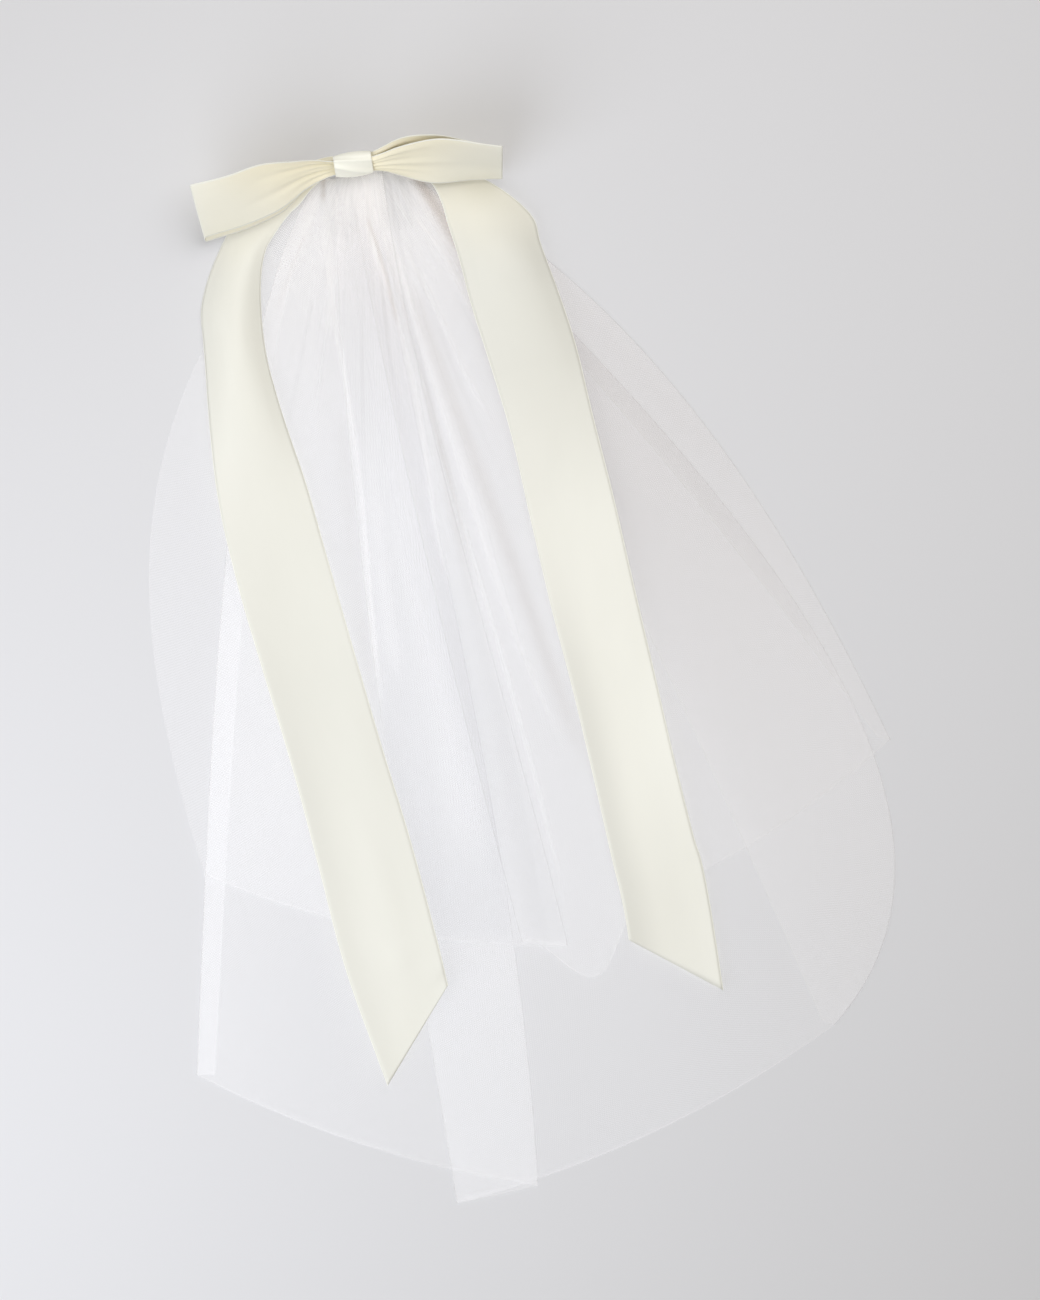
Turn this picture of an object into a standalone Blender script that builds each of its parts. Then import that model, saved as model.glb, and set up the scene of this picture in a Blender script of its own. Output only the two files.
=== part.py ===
"""Bridal veil: two tiers of plain tulle gathered on a clear comb, under a satin ribbon bow.

The veil lies flat, face up, on a table at z = 0. The comb and the bow are at +Y, the hems at -Y.
Every length in the tables is in millimetres, in the plan of the laid veil. The plan is drawn about
the middle of the spread, and an empty moves the whole veil so that its outline is centred.

The tulle fans out from one point above the comb, so its folds are drawn as curves and everything
between two folds is spread evenly in angle and distance about that point. Its layers lie on each
other: the level of a layer is counted from the layers that it rests on.
"""
from collections import namedtuple
from math import cos, pi, radians, sin

import bmesh
import bpy
import numpy as np

MM = 0.001

# Driving sizes
TULLE_WALL = 1.0
SATIN_WALL = 1.0
SEAM_GAP = 0.3
PITCH_AT_GATHER = 1.7
PITCH_AT_HEM = 2.2
PITCH_REACH = 250.0
FOLD_ROUND = 1.5
FOLD_TURNS = (pi / 4.0, pi / 2.0, 3.0 * pi / 4.0)
SHARP_ANGLE = radians(50)
PLAN_CENTRE = (0.5, -1.0)

# The point that the tulle fans out from, and the tilted line that it is gathered on
FAN = (-83.0, 329.0)
GATHER_TILT = radians(8.5)
GATHER_POINT = (-84.0, 268.0)

# Comb, and how the tulle that it carries comes down to the table round it
COMB_CENTRE = (-84.0, 263.2)
COMB_TEETH = 15
COMB_PITCH = 3.2
COMB_TOOTH = 1.6
COMB_TOP = 4.4
COMB_CLEARANCE = 0.9
COMB_SLOPE = 50.0
COMB_LEVEL_ABOVE = 10.0
COMB_LEVEL_BELOW = 12.0

# Comb sections from the bar's upper edge to the tips of the teeth: distance down the veil,
# height of the middle, thickness, and how wide a tooth is there as a share of its full width
CombRow = namedtuple("CombRow", "down middle thickness tooth_share")
COMB_ROWS = (
    CombRow(-2.6, 2.9, 2.2, 1.0),
    CombRow(-1.6, 2.8, 3.2, 1.0),
    CombRow(1.6, 2.8, 3.2, 1.0),
    CombRow(2.6, 2.9, 2.4, 1.0),
    CombRow(8, 2.6, 2.0, 1.0),
    CombRow(16, 1.9, 1.8, 0.95),
    CombRow(25, 1.1, 1.6, 0.8),
    CombRow(29.4, 0.7, 1.4, 0.55),
)
COMB_BAR_ROWS = 3

# Folds and cut edges of the tulle, from the gather to the hem. The two middle points pull the
# curve. Angles about the fan point grow to the right.
FoldLine = namedtuple("FoldLine", "root_x upper_x upper_y lower_x lower_y hem_x hem_y")
FOLDS = {
    "lower_left_edge": FoldLine(-101.5, -144, 183, -151.5, 16, -163.5, -219),
    "lower_left_fold": FoldLine(-109, -156.5, 183, -164.5, 16, -173.5, -219),
    "lower_top_fold": FoldLine(-79, -55.6, 107, 1, -87, 11, -278.6),
    "lower_under_fold": FoldLine(-99, -97, 102, -66.5, -87, -33, -288.4),
    "lower_right_fold": FoldLine(-60, 98, 118, 279, -71, 171, -192),
    "lower_right_edge": FoldLine(-66, 23, 134, 98, -38, 164, -189.5),
    "upper_left_edge": FoldLine(-107, -177, 183, -247, 32, -169, -111),
    "upper_top_fold": FoldLine(-73, -58, 145, -4, -17, 27, -149),
    "upper_under_fold": FoldLine(-92, -69, 134, -34, -11, 2, -147),
    "upper_right_fold": FoldLine(-60, 66, 205, 139, 91, 201, -38),
    "upper_right_edge": FoldLine(-67, 23, 183, 109, 80, 194, -37),
}

# Stretches of tulle between two folds, from one cut edge of a tier to the other
Stretch = namedtuple("Stretch", "start end columns rests_on")
STRETCHES = {
    "lower_turned_strip": Stretch("lower_left_edge", "lower_left_fold", 2, ()),
    "lower_face": Stretch("lower_left_fold", "lower_top_fold", 19,
                          ("lower_turned_strip", "lower_middle")),
    "lower_middle": Stretch("lower_top_fold", "lower_under_fold", 9, ("lower_back",)),
    "lower_back": Stretch("lower_under_fold", "lower_right_fold", 24, ()),
    "lower_turned_back": Stretch("lower_right_fold", "lower_right_edge", 8, ("lower_back",)),
    "upper_face": Stretch("upper_left_edge", "upper_top_fold", 22,
                          ("upper_middle", "lower_face")),
    "upper_middle": Stretch("upper_top_fold", "upper_under_fold", 7, ("upper_back",)),
    "upper_back": Stretch("upper_under_fold", "upper_right_fold", 24,
                          ("lower_face", "lower_back", "lower_turned_back")),
    "upper_turned_back": Stretch("upper_right_fold", "upper_right_edge", 4, ("upper_back",)),
}
LOWER_TIER = ("lower_turned_strip", "lower_face", "lower_middle", "lower_back",
              "lower_turned_back")
UPPER_TIER = ("upper_face", "upper_middle", "upper_back", "upper_turned_back")
LOWER_ROWS = 18
UPPER_ROWS = 16
ROW_EASE = 1.25

# The short tier's hem hangs lower where its cloth is slack
DIP_STRETCH = "upper_back"
DIP_ANGLE = 14.2
DIP_HALF_ANGLE = 4.0
DIP_DEPTH = 30.0

# Soft gathers that run out from the comb
Gather = namedtuple("Gather", "root_angle tip_angle reach height")
GATHERS = (
    Gather(-19, -21, 170, 1.4),
    Gather(-14, -14, 220, 1.7),
    Gather(-9, -6, 270, 1.9),
    Gather(-4, 2, 340, 2.3),
    Gather(1, 8, 320, 1.8),
    Gather(6, 13, 400, 2.3),
    Gather(11, 19, 360, 2.2),
    Gather(15.5, 25, 270, 1.9),
    Gather(20, 32, 340, 2.1),
)
GATHER_START = 62.0
GATHER_GROWTH = 110.0
GATHER_FADE_FROM = 0.45
GATHER_HALF_ANGLE = 3.2
GATHER_ROOT_HEIGHT = 0.5

# How far a layer goes on past the edge of the one that it rests on, before it sinks beside it
EDGE_MARGIN = 4.0
EDGE_SLOPE = 8.0
EDGE_SLOPE_SPREAD = 0.045

# The tails, from under the knot to the slanting cut. Crown is how far the middle stands up.
TailRow = namedtuple("TailRow", "left_x left_y right_x right_y crown")
LEFT_TAIL = (
    TailRow(-88.5, 277, -88.5, 264.5, 0),
    TailRow(-106, 275, -103, 262.5, 0),
    TailRow(-131, 263, -116, 251.5, 0),
    TailRow(-150, 245, -125, 242, 0.5),
    TailRow(-163.6, 219.8, -134.5, 221.9, 5),
    TailRow(-170.6, 196.6, -137.2, 199.3, 9),
    TailRow(-169, 169.6, -135.5, 173.3, 9),
    TailRow(-166.3, 131.8, -126.9, 138.8, 7),
    TailRow(-161.5, 91.3, -114.5, 100.4, 4),
    TailRow(-151.7, 48.1, -103.1, 60.5, 2),
    TailRow(-137.2, -1.6, -89.1, 11.9, 2),
    TailRow(-122, -51.8, -74.5, -38.3, 2),
    TailRow(-108, -104.2, -58.3, -91.3, 2),
    TailRow(-93.4, -159.8, -44.3, -143.6, 1),
    TailRow(-70.2, -224.6, -37.8, -170.6, 0.5),
)
RIGHT_TAIL = (
    TailRow(-88, 264.5, -88, 277, 0),
    TailRow(-66, 262, -60, 276.5, 0),
    TailRow(-49, 255, -25, 267, 0),
    TailRow(-38.3, 242, 5.4, 247.5, 3),
    TailRow(-31.3, 223.6, 14.6, 227.3, 7),
    TailRow(-23.8, 198.2, 23.8, 203, 6),
    TailRow(-14, 167.9, 32.4, 176.6, 4),
    TailRow(-3.2, 129.1, 40.5, 138.8, 3),
    TailRow(7, 80.5, 51.8, 91.3, 2),
    TailRow(17.8, 34.6, 62.1, 46.4, 2),
    TailRow(29.7, -11.3, 72.9, 0.5, 2),
    TailRow(41, -58.9, 83.7, -46.4, 2),
    TailRow(51.3, -104.2, 94.5, -89.6, 2),
    TailRow(57, -128, 102, -118, 1),
    TailRow(60, -146.3, 110.7, -173.3, 0.5),
)
TAIL_ROWS = 36
TAIL_COLUMNS = 5
TAIL_REACH = 7.0
TAIL_EASING_ROUNDS = 6

# The bow's loops: the middle line of the front layer from the knot to the end, the ribbon's
# width and lean there, and how far behind and below it the back layer runs
LoopRow = namedtuple("LoopRow", "x y z width lean gap drop")
LEFT_LOOP = (
    LoopRow(-89, 270.2, 26.8, 13, 64, 3, 0),
    LoopRow(-98.5, 269, 26.8, 14, 64, 3, 0),
    LoopRow(-108, 267.5, 30.2, 22, 62, 4, 1.5),
    LoopRow(-118, 264.5, 34.7, 31, 62, 4.5, 3),
    LoopRow(-130, 259.6, 37.7, 44, 61, 4.5, 4.5),
    LoopRow(-150, 251.5, 38.2, 50, 59.5, 5, 6),
    LoopRow(-169.2, 246.4, 37.2, 50, 57.5, 5, 7),
)
RIGHT_LOOP = (
    LoopRow(-88, 270.5, 26.8, 13, 64, 3, 0),
    LoopRow(-78.5, 271.8, 26.8, 14, 64, 3, 0),
    LoopRow(-62.4, 272.8, 32.2, 30, 62, 5.5, 0),
    LoopRow(-43.8, 272.4, 38.2, 44, 63, 5, 2),
    LoopRow(-25.2, 270.6, 39.2, 50, 66.5, 4, 3.5),
    LoopRow(-9.4, 269.4, 38.7, 50, 69.5, 3.5, 5),
)
LOOP_ROWS = 15
LOOP_COLUMNS = 5
LOOP_TURN_ROWS = 4
LOOP_CROWN = 1.2
LOOP_CROWN_FROM = 6.0
LOOP_CROWN_GROWTH = 6.0

# Band round the middle of the bow
KNOT_CENTRE = (-88.5, 271.5, 26.2)
KNOT_BAND = 20.5
KNOT_LEAN = radians(64)
KNOT_HALF_WIDTH = 9.4
KNOT_HALF_DEPTH = 4.7
KNOT_SQUARENESS = 2.5
KNOT_WAIST = 0.35
KNOT_SIDES = 24
KNOT_COLUMNS = 4

# Colours
Finish = namedtuple("Finish", "colour roughness alpha")
TULLE = Finish((0.93, 0.93, 0.94), 0.8, 0.6)
SATIN = Finish((0.90, 0.89, 0.80), 0.35, 1.0)
CLEAR_PLASTIC = Finish((0.92, 0.93, 0.92), 0.15, 0.5)


def smoothstep(value):
    """Ease from 0 to 1."""
    value = np.clip(value, 0.0, 1.0)
    return value * value * (3.0 - 2.0 * value)


def plan_point(angle, distance):
    """Plan position of a point given by its angle and distance about the fan point."""
    return FAN[0] + distance * np.sin(angle), FAN[1] - distance * np.cos(angle)


def fan_place(x, y):
    """Angle and distance of a plan position about the fan point."""
    return np.arctan2(x - FAN[0], FAN[1] - y), np.hypot(x - FAN[0], y - FAN[1])


def fold_curve(name, share):
    """Angle and distance of a fold line at shares of its length."""
    fold = FOLDS[name]
    root_y = GATHER_POINT[1] + (fold.root_x - GATHER_POINT[0]) * np.tan(GATHER_TILT)
    share = np.asarray(share, dtype=float)
    near = (1.0 - share) ** 3
    upper = 3.0 * (1.0 - share) ** 2 * share
    lower = 3.0 * (1.0 - share) * share ** 2
    far = share ** 3
    x = near * fold.root_x + upper * fold.upper_x + lower * fold.lower_x + far * fold.hem_x
    y = near * root_y + upper * fold.upper_y + lower * fold.lower_y + far * fold.hem_y
    return fan_place(x, y)


CURVE_SHARES = np.linspace(0.0, 1.0, 61)
CURVES = {name: fold_curve(name, CURVE_SHARES) for name in FOLDS}


def fold_angle(name, distance):
    """Angle of a fold line at a distance from the fan point."""
    angles, distances = CURVES[name]
    return np.interp(distance, distances, angles)


def hem_dip(name, angle):
    """How much further out the hem of a stretch hangs at an angle."""
    if name != DIP_STRETCH:
        return np.zeros_like(angle)
    across = (np.degrees(angle) - DIP_ANGLE) / DIP_HALF_ANGLE
    return np.where(np.abs(across) < 1.0, DIP_DEPTH * np.cos(across * pi / 2.0) ** 2, 0.0)


def presence(name, angle, distance):
    """1 where a stretch of tulle lies, easing to 0 beside it."""
    stretch = STRETCHES[name]
    sides = (fold_angle(stretch.start, distance), fold_angle(stretch.end, distance))
    low = np.minimum(*sides)
    high = np.maximum(*sides)
    beside = np.maximum(np.maximum(low - angle, angle - high), 0.0) * distance
    ends = sorted((CURVES[side][0][-1], CURVES[side][1][-1]) for side in stretch[:2])
    hem = np.interp(angle, [end[0] for end in ends], [end[1] for end in ends])
    hem = hem + hem_dip(name, angle)
    root = min(CURVES[side][1][0] for side in stretch[:2])
    past = np.maximum(np.maximum(distance - hem, root - distance), 0.0)
    slope = EDGE_SLOPE + EDGE_SLOPE_SPREAD * distance
    return 1.0 - smoothstep((np.hypot(beside, past) - EDGE_MARGIN) / slope)


def level(name, angle, distance):
    """Level of a stretch of tulle, counted from the layers that it rests on."""
    return stacked(STRETCHES[name].rests_on, angle, distance)


def stacked(names, angle, distance):
    """Level of whatever lies on the named stretches of tulle."""
    found = np.zeros_like(angle)
    for name in names:
        on_it = presence(name, angle, distance) * (level(name, angle, distance) + 1.0)
        found = np.maximum(found, on_it)
    return found


def layer_pitch(distance):
    """Height from one layer of tulle to the next."""
    ease = smoothstep((distance - GATHER_START) / PITCH_REACH)
    return PITCH_AT_GATHER + (PITCH_AT_HEM - PITCH_AT_GATHER) * ease


def comb_rise(x, y):
    """Height of the middle of the lowest layer, carried by the comb and falling to the table."""
    along = (x - COMB_CENTRE[0]) * cos(GATHER_TILT) + (y - COMB_CENTRE[1]) * sin(GATHER_TILT)
    down = -(x - COMB_CENTRE[0]) * sin(GATHER_TILT) + (y - COMB_CENTRE[1]) * cos(GATHER_TILT)
    half = COMB_TEETH * COMB_PITCH / 2.0
    beside = np.maximum(np.abs(along) - half, 0.0)
    past = np.maximum(np.maximum(-down - COMB_LEVEL_BELOW, down - COMB_LEVEL_ABOVE), 0.0)
    on_comb = COMB_TOP + COMB_CLEARANCE
    flat = TULLE_WALL / 2.0
    return flat + (on_comb - flat) * (1.0 - smoothstep(np.hypot(beside, past) / COMB_SLOPE))


def gather_height(angle, distance):
    """Height of the soft gathers, which every layer follows."""
    height = np.zeros_like(angle)
    for gather in GATHERS:
        run = (distance - GATHER_START) / (gather.reach - GATHER_START)
        middle = gather.root_angle + (gather.tip_angle - gather.root_angle) * np.clip(run, 0, 1)
        across = np.clip((np.degrees(angle) - middle) / GATHER_HALF_ANGLE, -1.0, 1.0)
        grown = smoothstep((distance - GATHER_START) / GATHER_GROWTH)
        peak = GATHER_ROOT_HEIGHT + (gather.height - GATHER_ROOT_HEIGHT) * grown
        fade = 1.0 - smoothstep((run - GATHER_FADE_FROM) / (1.0 - GATHER_FADE_FROM))
        height = np.maximum(height, peak * fade * np.cos(across * pi / 2.0) ** 2)
    return height


def tulle_height(angle, distance, layers):
    """Height of the middle of a layer at a level above the table."""
    x, y = plan_point(angle, distance)
    lift = comb_rise(x, y) + gather_height(angle, distance)
    return lift + layer_pitch(distance) * layers


def stretch_columns(name, shares, turned_at_start, turned_at_end):
    """Columns of middle points across one stretch of tulle, held back from its folds."""
    stretch = STRETCHES[name]
    start_angle, start_distance = fold_curve(stretch.start, shares)
    end_angle, end_distance = fold_curve(stretch.end, shares)
    width = np.abs(end_angle - start_angle) * (start_distance + end_distance) / 2.0
    held = np.minimum(FOLD_ROUND / width, 0.4)
    first = held * turned_at_start
    last = 1.0 - held * turned_at_end
    columns = []
    for step in np.linspace(0.0, 1.0, stretch.columns + 1):
        across = first + (last - first) * step
        angle = start_angle + (end_angle - start_angle) * across
        distance = start_distance + (end_distance - start_distance) * across
        distance = distance + hem_dip(name, angle) * shares ** 3
        height = tulle_height(angle, distance, level(name, angle, distance))
        columns.append(np.stack([*plan_point(angle, distance), height], axis=1))
    return columns


def turned_columns(fold, shares, before, after):
    """Columns round a fold, from the last column of one stretch to the first of the next."""
    edge = np.stack(plan_point(*fold_curve(fold, shares)), axis=1)
    columns = []
    for turn in FOLD_TURNS:
        column = (before + after) / 2.0 + (before - after) / 2.0 * cos(turn)
        column[:, :2] += (edge - column[:, :2]) * sin(turn)
        columns.append(column)
    return columns


def tier_grid(names, rows):
    """Middle points of a whole tier, cut edge to cut edge, from the gather to the hem."""
    shares = np.linspace(0.0, 1.0, rows) ** ROW_EASE
    grid = []
    for place, name in enumerate(names):
        columns = stretch_columns(name, shares, place > 0, place < len(names) - 1)
        if grid:
            grid += turned_columns(STRETCHES[name].start, shares, grid[-1], columns[0])
        grid += columns
    return np.array(grid)


def smooth_through(rows, count):
    """Rows read evenly from a smooth curve through a table's rows."""
    rows = np.asarray(rows, dtype=float)
    steps = np.linalg.norm(np.diff(rows[:, :2], axis=0), axis=1)
    places = np.concatenate(([0.0], np.cumsum(steps)))
    slopes = np.gradient(rows, places, axis=0)
    wanted = np.linspace(0.0, places[-1], count)
    index = np.clip(np.searchsorted(places, wanted, side="right") - 1, 0, len(places) - 2)
    span = (places[index + 1] - places[index])[:, None]
    part = (wanted - places[index])[:, None] / span
    start = (2 * part ** 3 - 3 * part ** 2 + 1) * rows[index]
    start = start + (part ** 3 - 2 * part ** 2 + part) * span * slopes[index]
    end = (3 * part ** 2 - 2 * part ** 3) * rows[index + 1]
    end = end + (part ** 3 - part ** 2) * span * slopes[index + 1]
    return start + end


def rest_height(x, y):
    """Height of the middle of a ribbon that rests on the tulle at a plan position."""
    angle, distance = fan_place(x, y)
    layers = stacked(tuple(STRETCHES), angle, distance)
    on_top = tulle_height(angle, distance, layers)
    spare = layer_pitch(distance) - (TULLE_WALL + SATIN_WALL) / 2.0 - SEAM_GAP
    return np.maximum(on_top - spare * np.minimum(layers, 1.0), SATIN_WALL / 2.0)


def highest_nearby(x, y, reach):
    """Highest rest height within a reach of each plan position."""
    highest = rest_height(x, y)
    for ring in (0.5 * reach, reach):
        for turn in np.arange(8) * pi / 4.0:
            nearby = rest_height(x + ring * cos(turn), y + ring * sin(turn))
            highest = np.maximum(highest, nearby)
    return highest


def eased(heights):
    """Heights evened out along and across a strip, never below where they started."""
    evened = heights.copy()
    for _ in range(TAIL_EASING_ROUNDS):
        padded = np.pad(evened, 1, mode="edge")
        along = (padded[:-2, 1:-1] + padded[2:, 1:-1]) / 2.0
        across = (padded[1:-1, :-2] + padded[1:-1, 2:]) / 2.0
        evened = np.maximum((along + across) / 2.0, heights)
    return evened


def tail_grid(table):
    """Middle points of a tail, laid on the tulle."""
    rows = smooth_through(table, TAIL_ROWS)
    across = np.linspace(0.0, 1.0, TAIL_COLUMNS + 1)
    x = rows[:, 0:1] + (rows[:, 2:3] - rows[:, 0:1]) * across
    y = rows[:, 1:2] + (rows[:, 3:4] - rows[:, 1:2]) * across
    z = eased(highest_nearby(x, y, TAIL_REACH))
    z = z + rows[:, 4:5] * (1.0 - (2.0 * across - 1.0) ** 2)
    return np.stack([x, y, z], axis=2)


def loop_grid(table):
    """Middle points of a loop: front layer out, round the end, and back layer in."""
    rows = smooth_through(table, LOOP_ROWS)
    centre = rows[:, :3]
    heading = np.gradient(centre[:, :2], axis=0)
    heading = heading / np.linalg.norm(heading, axis=1, keepdims=True)
    outward = 1.0 if heading[-1, 0] > 0 else -1.0
    away = np.stack([-heading[:, 1], heading[:, 0]], axis=1) * outward
    lean = np.radians(rows[:, 4])
    side = np.column_stack([away * np.cos(lean)[:, None], np.sin(lean)])
    face = np.column_stack([away * -np.sin(lean)[:, None], np.cos(lean)])
    across = np.linspace(-0.5, 0.5, LOOP_COLUMNS + 1)
    puff = (1.0 - (2.0 * across) ** 2) * LOOP_CROWN
    grown = smoothstep((np.arange(LOOP_ROWS) - LOOP_CROWN_FROM) / LOOP_CROWN_GROWTH)
    front = centre[:, None] + side[:, None] * (rows[:, 3][:, None] * across)[:, :, None]
    front = front + face[:, None] * (puff * grown[:, None])[:, :, None]
    behind = face * rows[:, 5:6] + side * rows[:, 6:7]
    back = front - behind[:, None]
    turn_out = np.append(heading[-1], 0.0) * rows[-1, 5] / 2.0
    turned = []
    for turn in np.linspace(0.0, pi, LOOP_TURN_ROWS + 2)[1:-1]:
        middle = (front[-1] + back[-1]) / 2.0 + (front[-1] - back[-1]) / 2.0 * cos(turn)
        turned.append(middle + turn_out * sin(turn))
    return np.concatenate([front, np.array(turned), back[::-1]])


def knot_grid():
    """Middle points of the band round the bow's middle, closed on itself."""
    along = np.array([cos(GATHER_TILT), sin(GATHER_TILT), 0.0])
    away = np.array([-sin(GATHER_TILT), cos(GATHER_TILT), 0.0])
    up = np.array([0.0, 0.0, 1.0])
    side = away * cos(KNOT_LEAN) + up * sin(KNOT_LEAN)
    face = up * cos(KNOT_LEAN) - away * sin(KNOT_LEAN)
    grid = []
    for turn in np.arange(KNOT_SIDES) * 2.0 * pi / KNOT_SIDES:
        ring_side = np.sign(cos(turn)) * abs(cos(turn)) ** (2.0 / KNOT_SQUARENESS)
        ring_face = np.sign(sin(turn)) * abs(sin(turn)) ** (2.0 / KNOT_SQUARENESS)
        row = []
        for step in np.linspace(-1.0, 1.0, KNOT_COLUMNS + 1):
            flare = KNOT_WAIST * step * step
            offset = side * ring_side * (KNOT_HALF_WIDTH + flare)
            offset = offset + face * ring_face * (KNOT_HALF_DEPTH + flare)
            row.append(np.array(KNOT_CENTRE) + offset + along * step * KNOT_BAND / 2.0)
        grid.append(row)
    return np.array(grid)


def wall_normals(grid, closed):
    """Directions across the wall at every middle point."""
    if closed:
        along = np.roll(grid, -1, axis=0) - np.roll(grid, 1, axis=0)
    else:
        along = np.gradient(grid, axis=0)
    across = np.gradient(grid, axis=1)
    normal = np.cross(along, across)
    return normal / np.linalg.norm(normal, axis=2, keepdims=True)


def finish_material(name, finish):
    """Plain material of one piece."""
    material = bpy.data.materials.new(name)
    material.use_nodes = True
    shader = material.node_tree.nodes["Principled BSDF"]
    shader.inputs["Base Color"].default_value = (*finish.colour, 1.0)
    shader.inputs["Roughness"].default_value = finish.roughness
    shader.inputs["Metallic"].default_value = 0.0
    shader.inputs["Alpha"].default_value = finish.alpha
    return material


def solid_object(name, points, faces, finish, parent):
    """Object with one closed solid, its points given in millimetres."""
    mesh = bpy.data.meshes.new(name)
    mesh.from_pydata([tuple(float(value) * MM for value in point) for point in points], [], faces)
    shaped = bmesh.new()
    shaped.from_mesh(mesh)
    bmesh.ops.recalc_face_normals(shaped, faces=shaped.faces)
    shaped.to_mesh(mesh)
    shaped.free()
    mesh.shade_smooth()
    mesh.set_sharp_from_angle(angle=SHARP_ANGLE)
    mesh.materials.append(finish_material(name, finish))
    made = bpy.data.objects.new(name, mesh)
    bpy.context.scene.collection.objects.link(made)
    made.parent = parent
    return made


def cloth_wall(name, grid, thickness, finish, parent, closed=False):
    """Cloth of an even thickness about a grid of middle points, never below the table."""
    rows, columns = grid.shape[:2]
    offset = wall_normals(grid, closed) * thickness / 2.0
    outer = (grid + offset).reshape(-1, 3)
    inner = (grid - offset).reshape(-1, 3)
    points = np.concatenate([outer, inner])
    points[:, 2] = np.maximum(points[:, 2], 0.0)
    back = rows * columns

    def at(row, column):
        return (row % rows) * columns + column

    faces = []
    last_row = rows if closed else rows - 1
    for row in range(last_row):
        for column in range(columns - 1):
            quad = (at(row, column), at(row + 1, column), at(row + 1, column + 1),
                    at(row, column + 1))
            faces.append(quad)
            faces.append(tuple(point + back for point in reversed(quad)))
        for column in (0, columns - 1):
            rim = (at(row, column), at(row + 1, column))
            faces.append((rim[0], rim[1], rim[1] + back, rim[0] + back))
    if not closed:
        for row in (0, rows - 1):
            for column in range(columns - 1):
                rim = (at(row, column), at(row, column + 1))
                faces.append((rim[0], rim[1], rim[1] + back, rim[0] + back))
    return solid_object(name, points, faces, finish, parent)


def comb_solid(name, finish, parent):
    """Comb with a solid bar and separate teeth, built as one closed body from cells."""
    cells = 2 * COMB_TEETH - 1
    gap = COMB_PITCH - COMB_TOOTH
    lines = [0.0]
    for cell in range(cells):
        lines.append(lines[-1] + (gap if cell % 2 else COMB_TOOTH))
    half = lines[-1] / 2.0
    turn = np.array([[cos(GATHER_TILT), sin(GATHER_TILT)], [sin(GATHER_TILT), -cos(GATHER_TILT)]])
    points = []
    index = {}

    def corner(line, row, upper):
        key = (line, row, upper)
        if key not in index:
            section = COMB_ROWS[row]
            tooth_start = line - line % 2
            tooth_middle = (lines[tooth_start] + lines[min(tooth_start + 1, cells)]) / 2.0
            along = tooth_middle + (lines[line] - tooth_middle) * section.tooth_share - half
            plan = np.array(COMB_CENTRE) + turn.T @ np.array([along, section.down])
            height = section.middle + (0.5 if upper else -0.5) * section.thickness
            index[key] = len(points)
            points.append((plan[0], plan[1], height))
        return index[key]

    def filled(cell, row):
        inside = 0 <= cell < cells and 0 <= row < len(COMB_ROWS) - 1
        return inside and (row < COMB_BAR_ROWS or cell % 2 == 0)

    faces = []
    for cell in range(cells):
        for row in range(len(COMB_ROWS) - 1):
            if not filled(cell, row):
                continue
            ring = ((cell, row), (cell + 1, row), (cell + 1, row + 1), (cell, row + 1))
            faces.append(tuple(corner(*place, True) for place in ring))
            faces.append(tuple(corner(*place, False) for place in reversed(ring)))
            beside = ((cell, row - 1), (cell + 1, row), (cell, row + 1), (cell - 1, row))
            for number, neighbour in enumerate(beside):
                if not filled(*neighbour):
                    start = ring[number]
                    end = ring[(number + 1) % 4]
                    faces.append((corner(*start, True), corner(*start, False),
                                  corner(*end, False), corner(*end, True)))
    return solid_object(name, points, faces, finish, parent)


def clear_scene():
    """Remove whatever the scene holds."""
    for item in list(bpy.data.objects):
        bpy.data.objects.remove(item, do_unlink=True)


def build_veil():
    """Every piece of the veil, carried by one empty at the middle of the outline."""
    carrier = bpy.data.objects.new("veil", None)
    carrier.location = (-PLAN_CENTRE[0] * MM, -PLAN_CENTRE[1] * MM, 0.0)
    bpy.context.scene.collection.objects.link(carrier)
    cloth_wall("tulle_lower_tier", tier_grid(LOWER_TIER, LOWER_ROWS), TULLE_WALL, TULLE, carrier)
    cloth_wall("tulle_upper_tier", tier_grid(UPPER_TIER, UPPER_ROWS), TULLE_WALL, TULLE, carrier)
    cloth_wall("tail_left", tail_grid(LEFT_TAIL), SATIN_WALL, SATIN, carrier)
    cloth_wall("tail_right", tail_grid(RIGHT_TAIL), SATIN_WALL, SATIN, carrier)
    cloth_wall("bow_loop_left", loop_grid(LEFT_LOOP), SATIN_WALL, SATIN, carrier)
    cloth_wall("bow_loop_right", loop_grid(RIGHT_LOOP), SATIN_WALL, SATIN, carrier)
    cloth_wall("bow_knot", knot_grid(), SATIN_WALL, SATIN, carrier, closed=True)
    comb_solid("comb", CLEAR_PLASTIC, carrier)
    bpy.context.view_layer.update()


def main():
    """Clear the scene and build the veil."""
    clear_scene()
    build_veil()


if __name__ == "__main__":
    main()
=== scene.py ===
"""A bridal veil laid flat on a pale table: the looks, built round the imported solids.

Two tiers of plain tulle are gathered on a clear comb, under a bow of ivory satin ribbon with two
long tails. Lengths in the tables are millimetres in the plan of the laid veil, the same plan that
the solids are drawn in, and PLAN_CENTRE takes them to the frame. The net and the ribbons are thin
sheets on their solids' form, with the finer gathers, creases and pleats added.
"""

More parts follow.
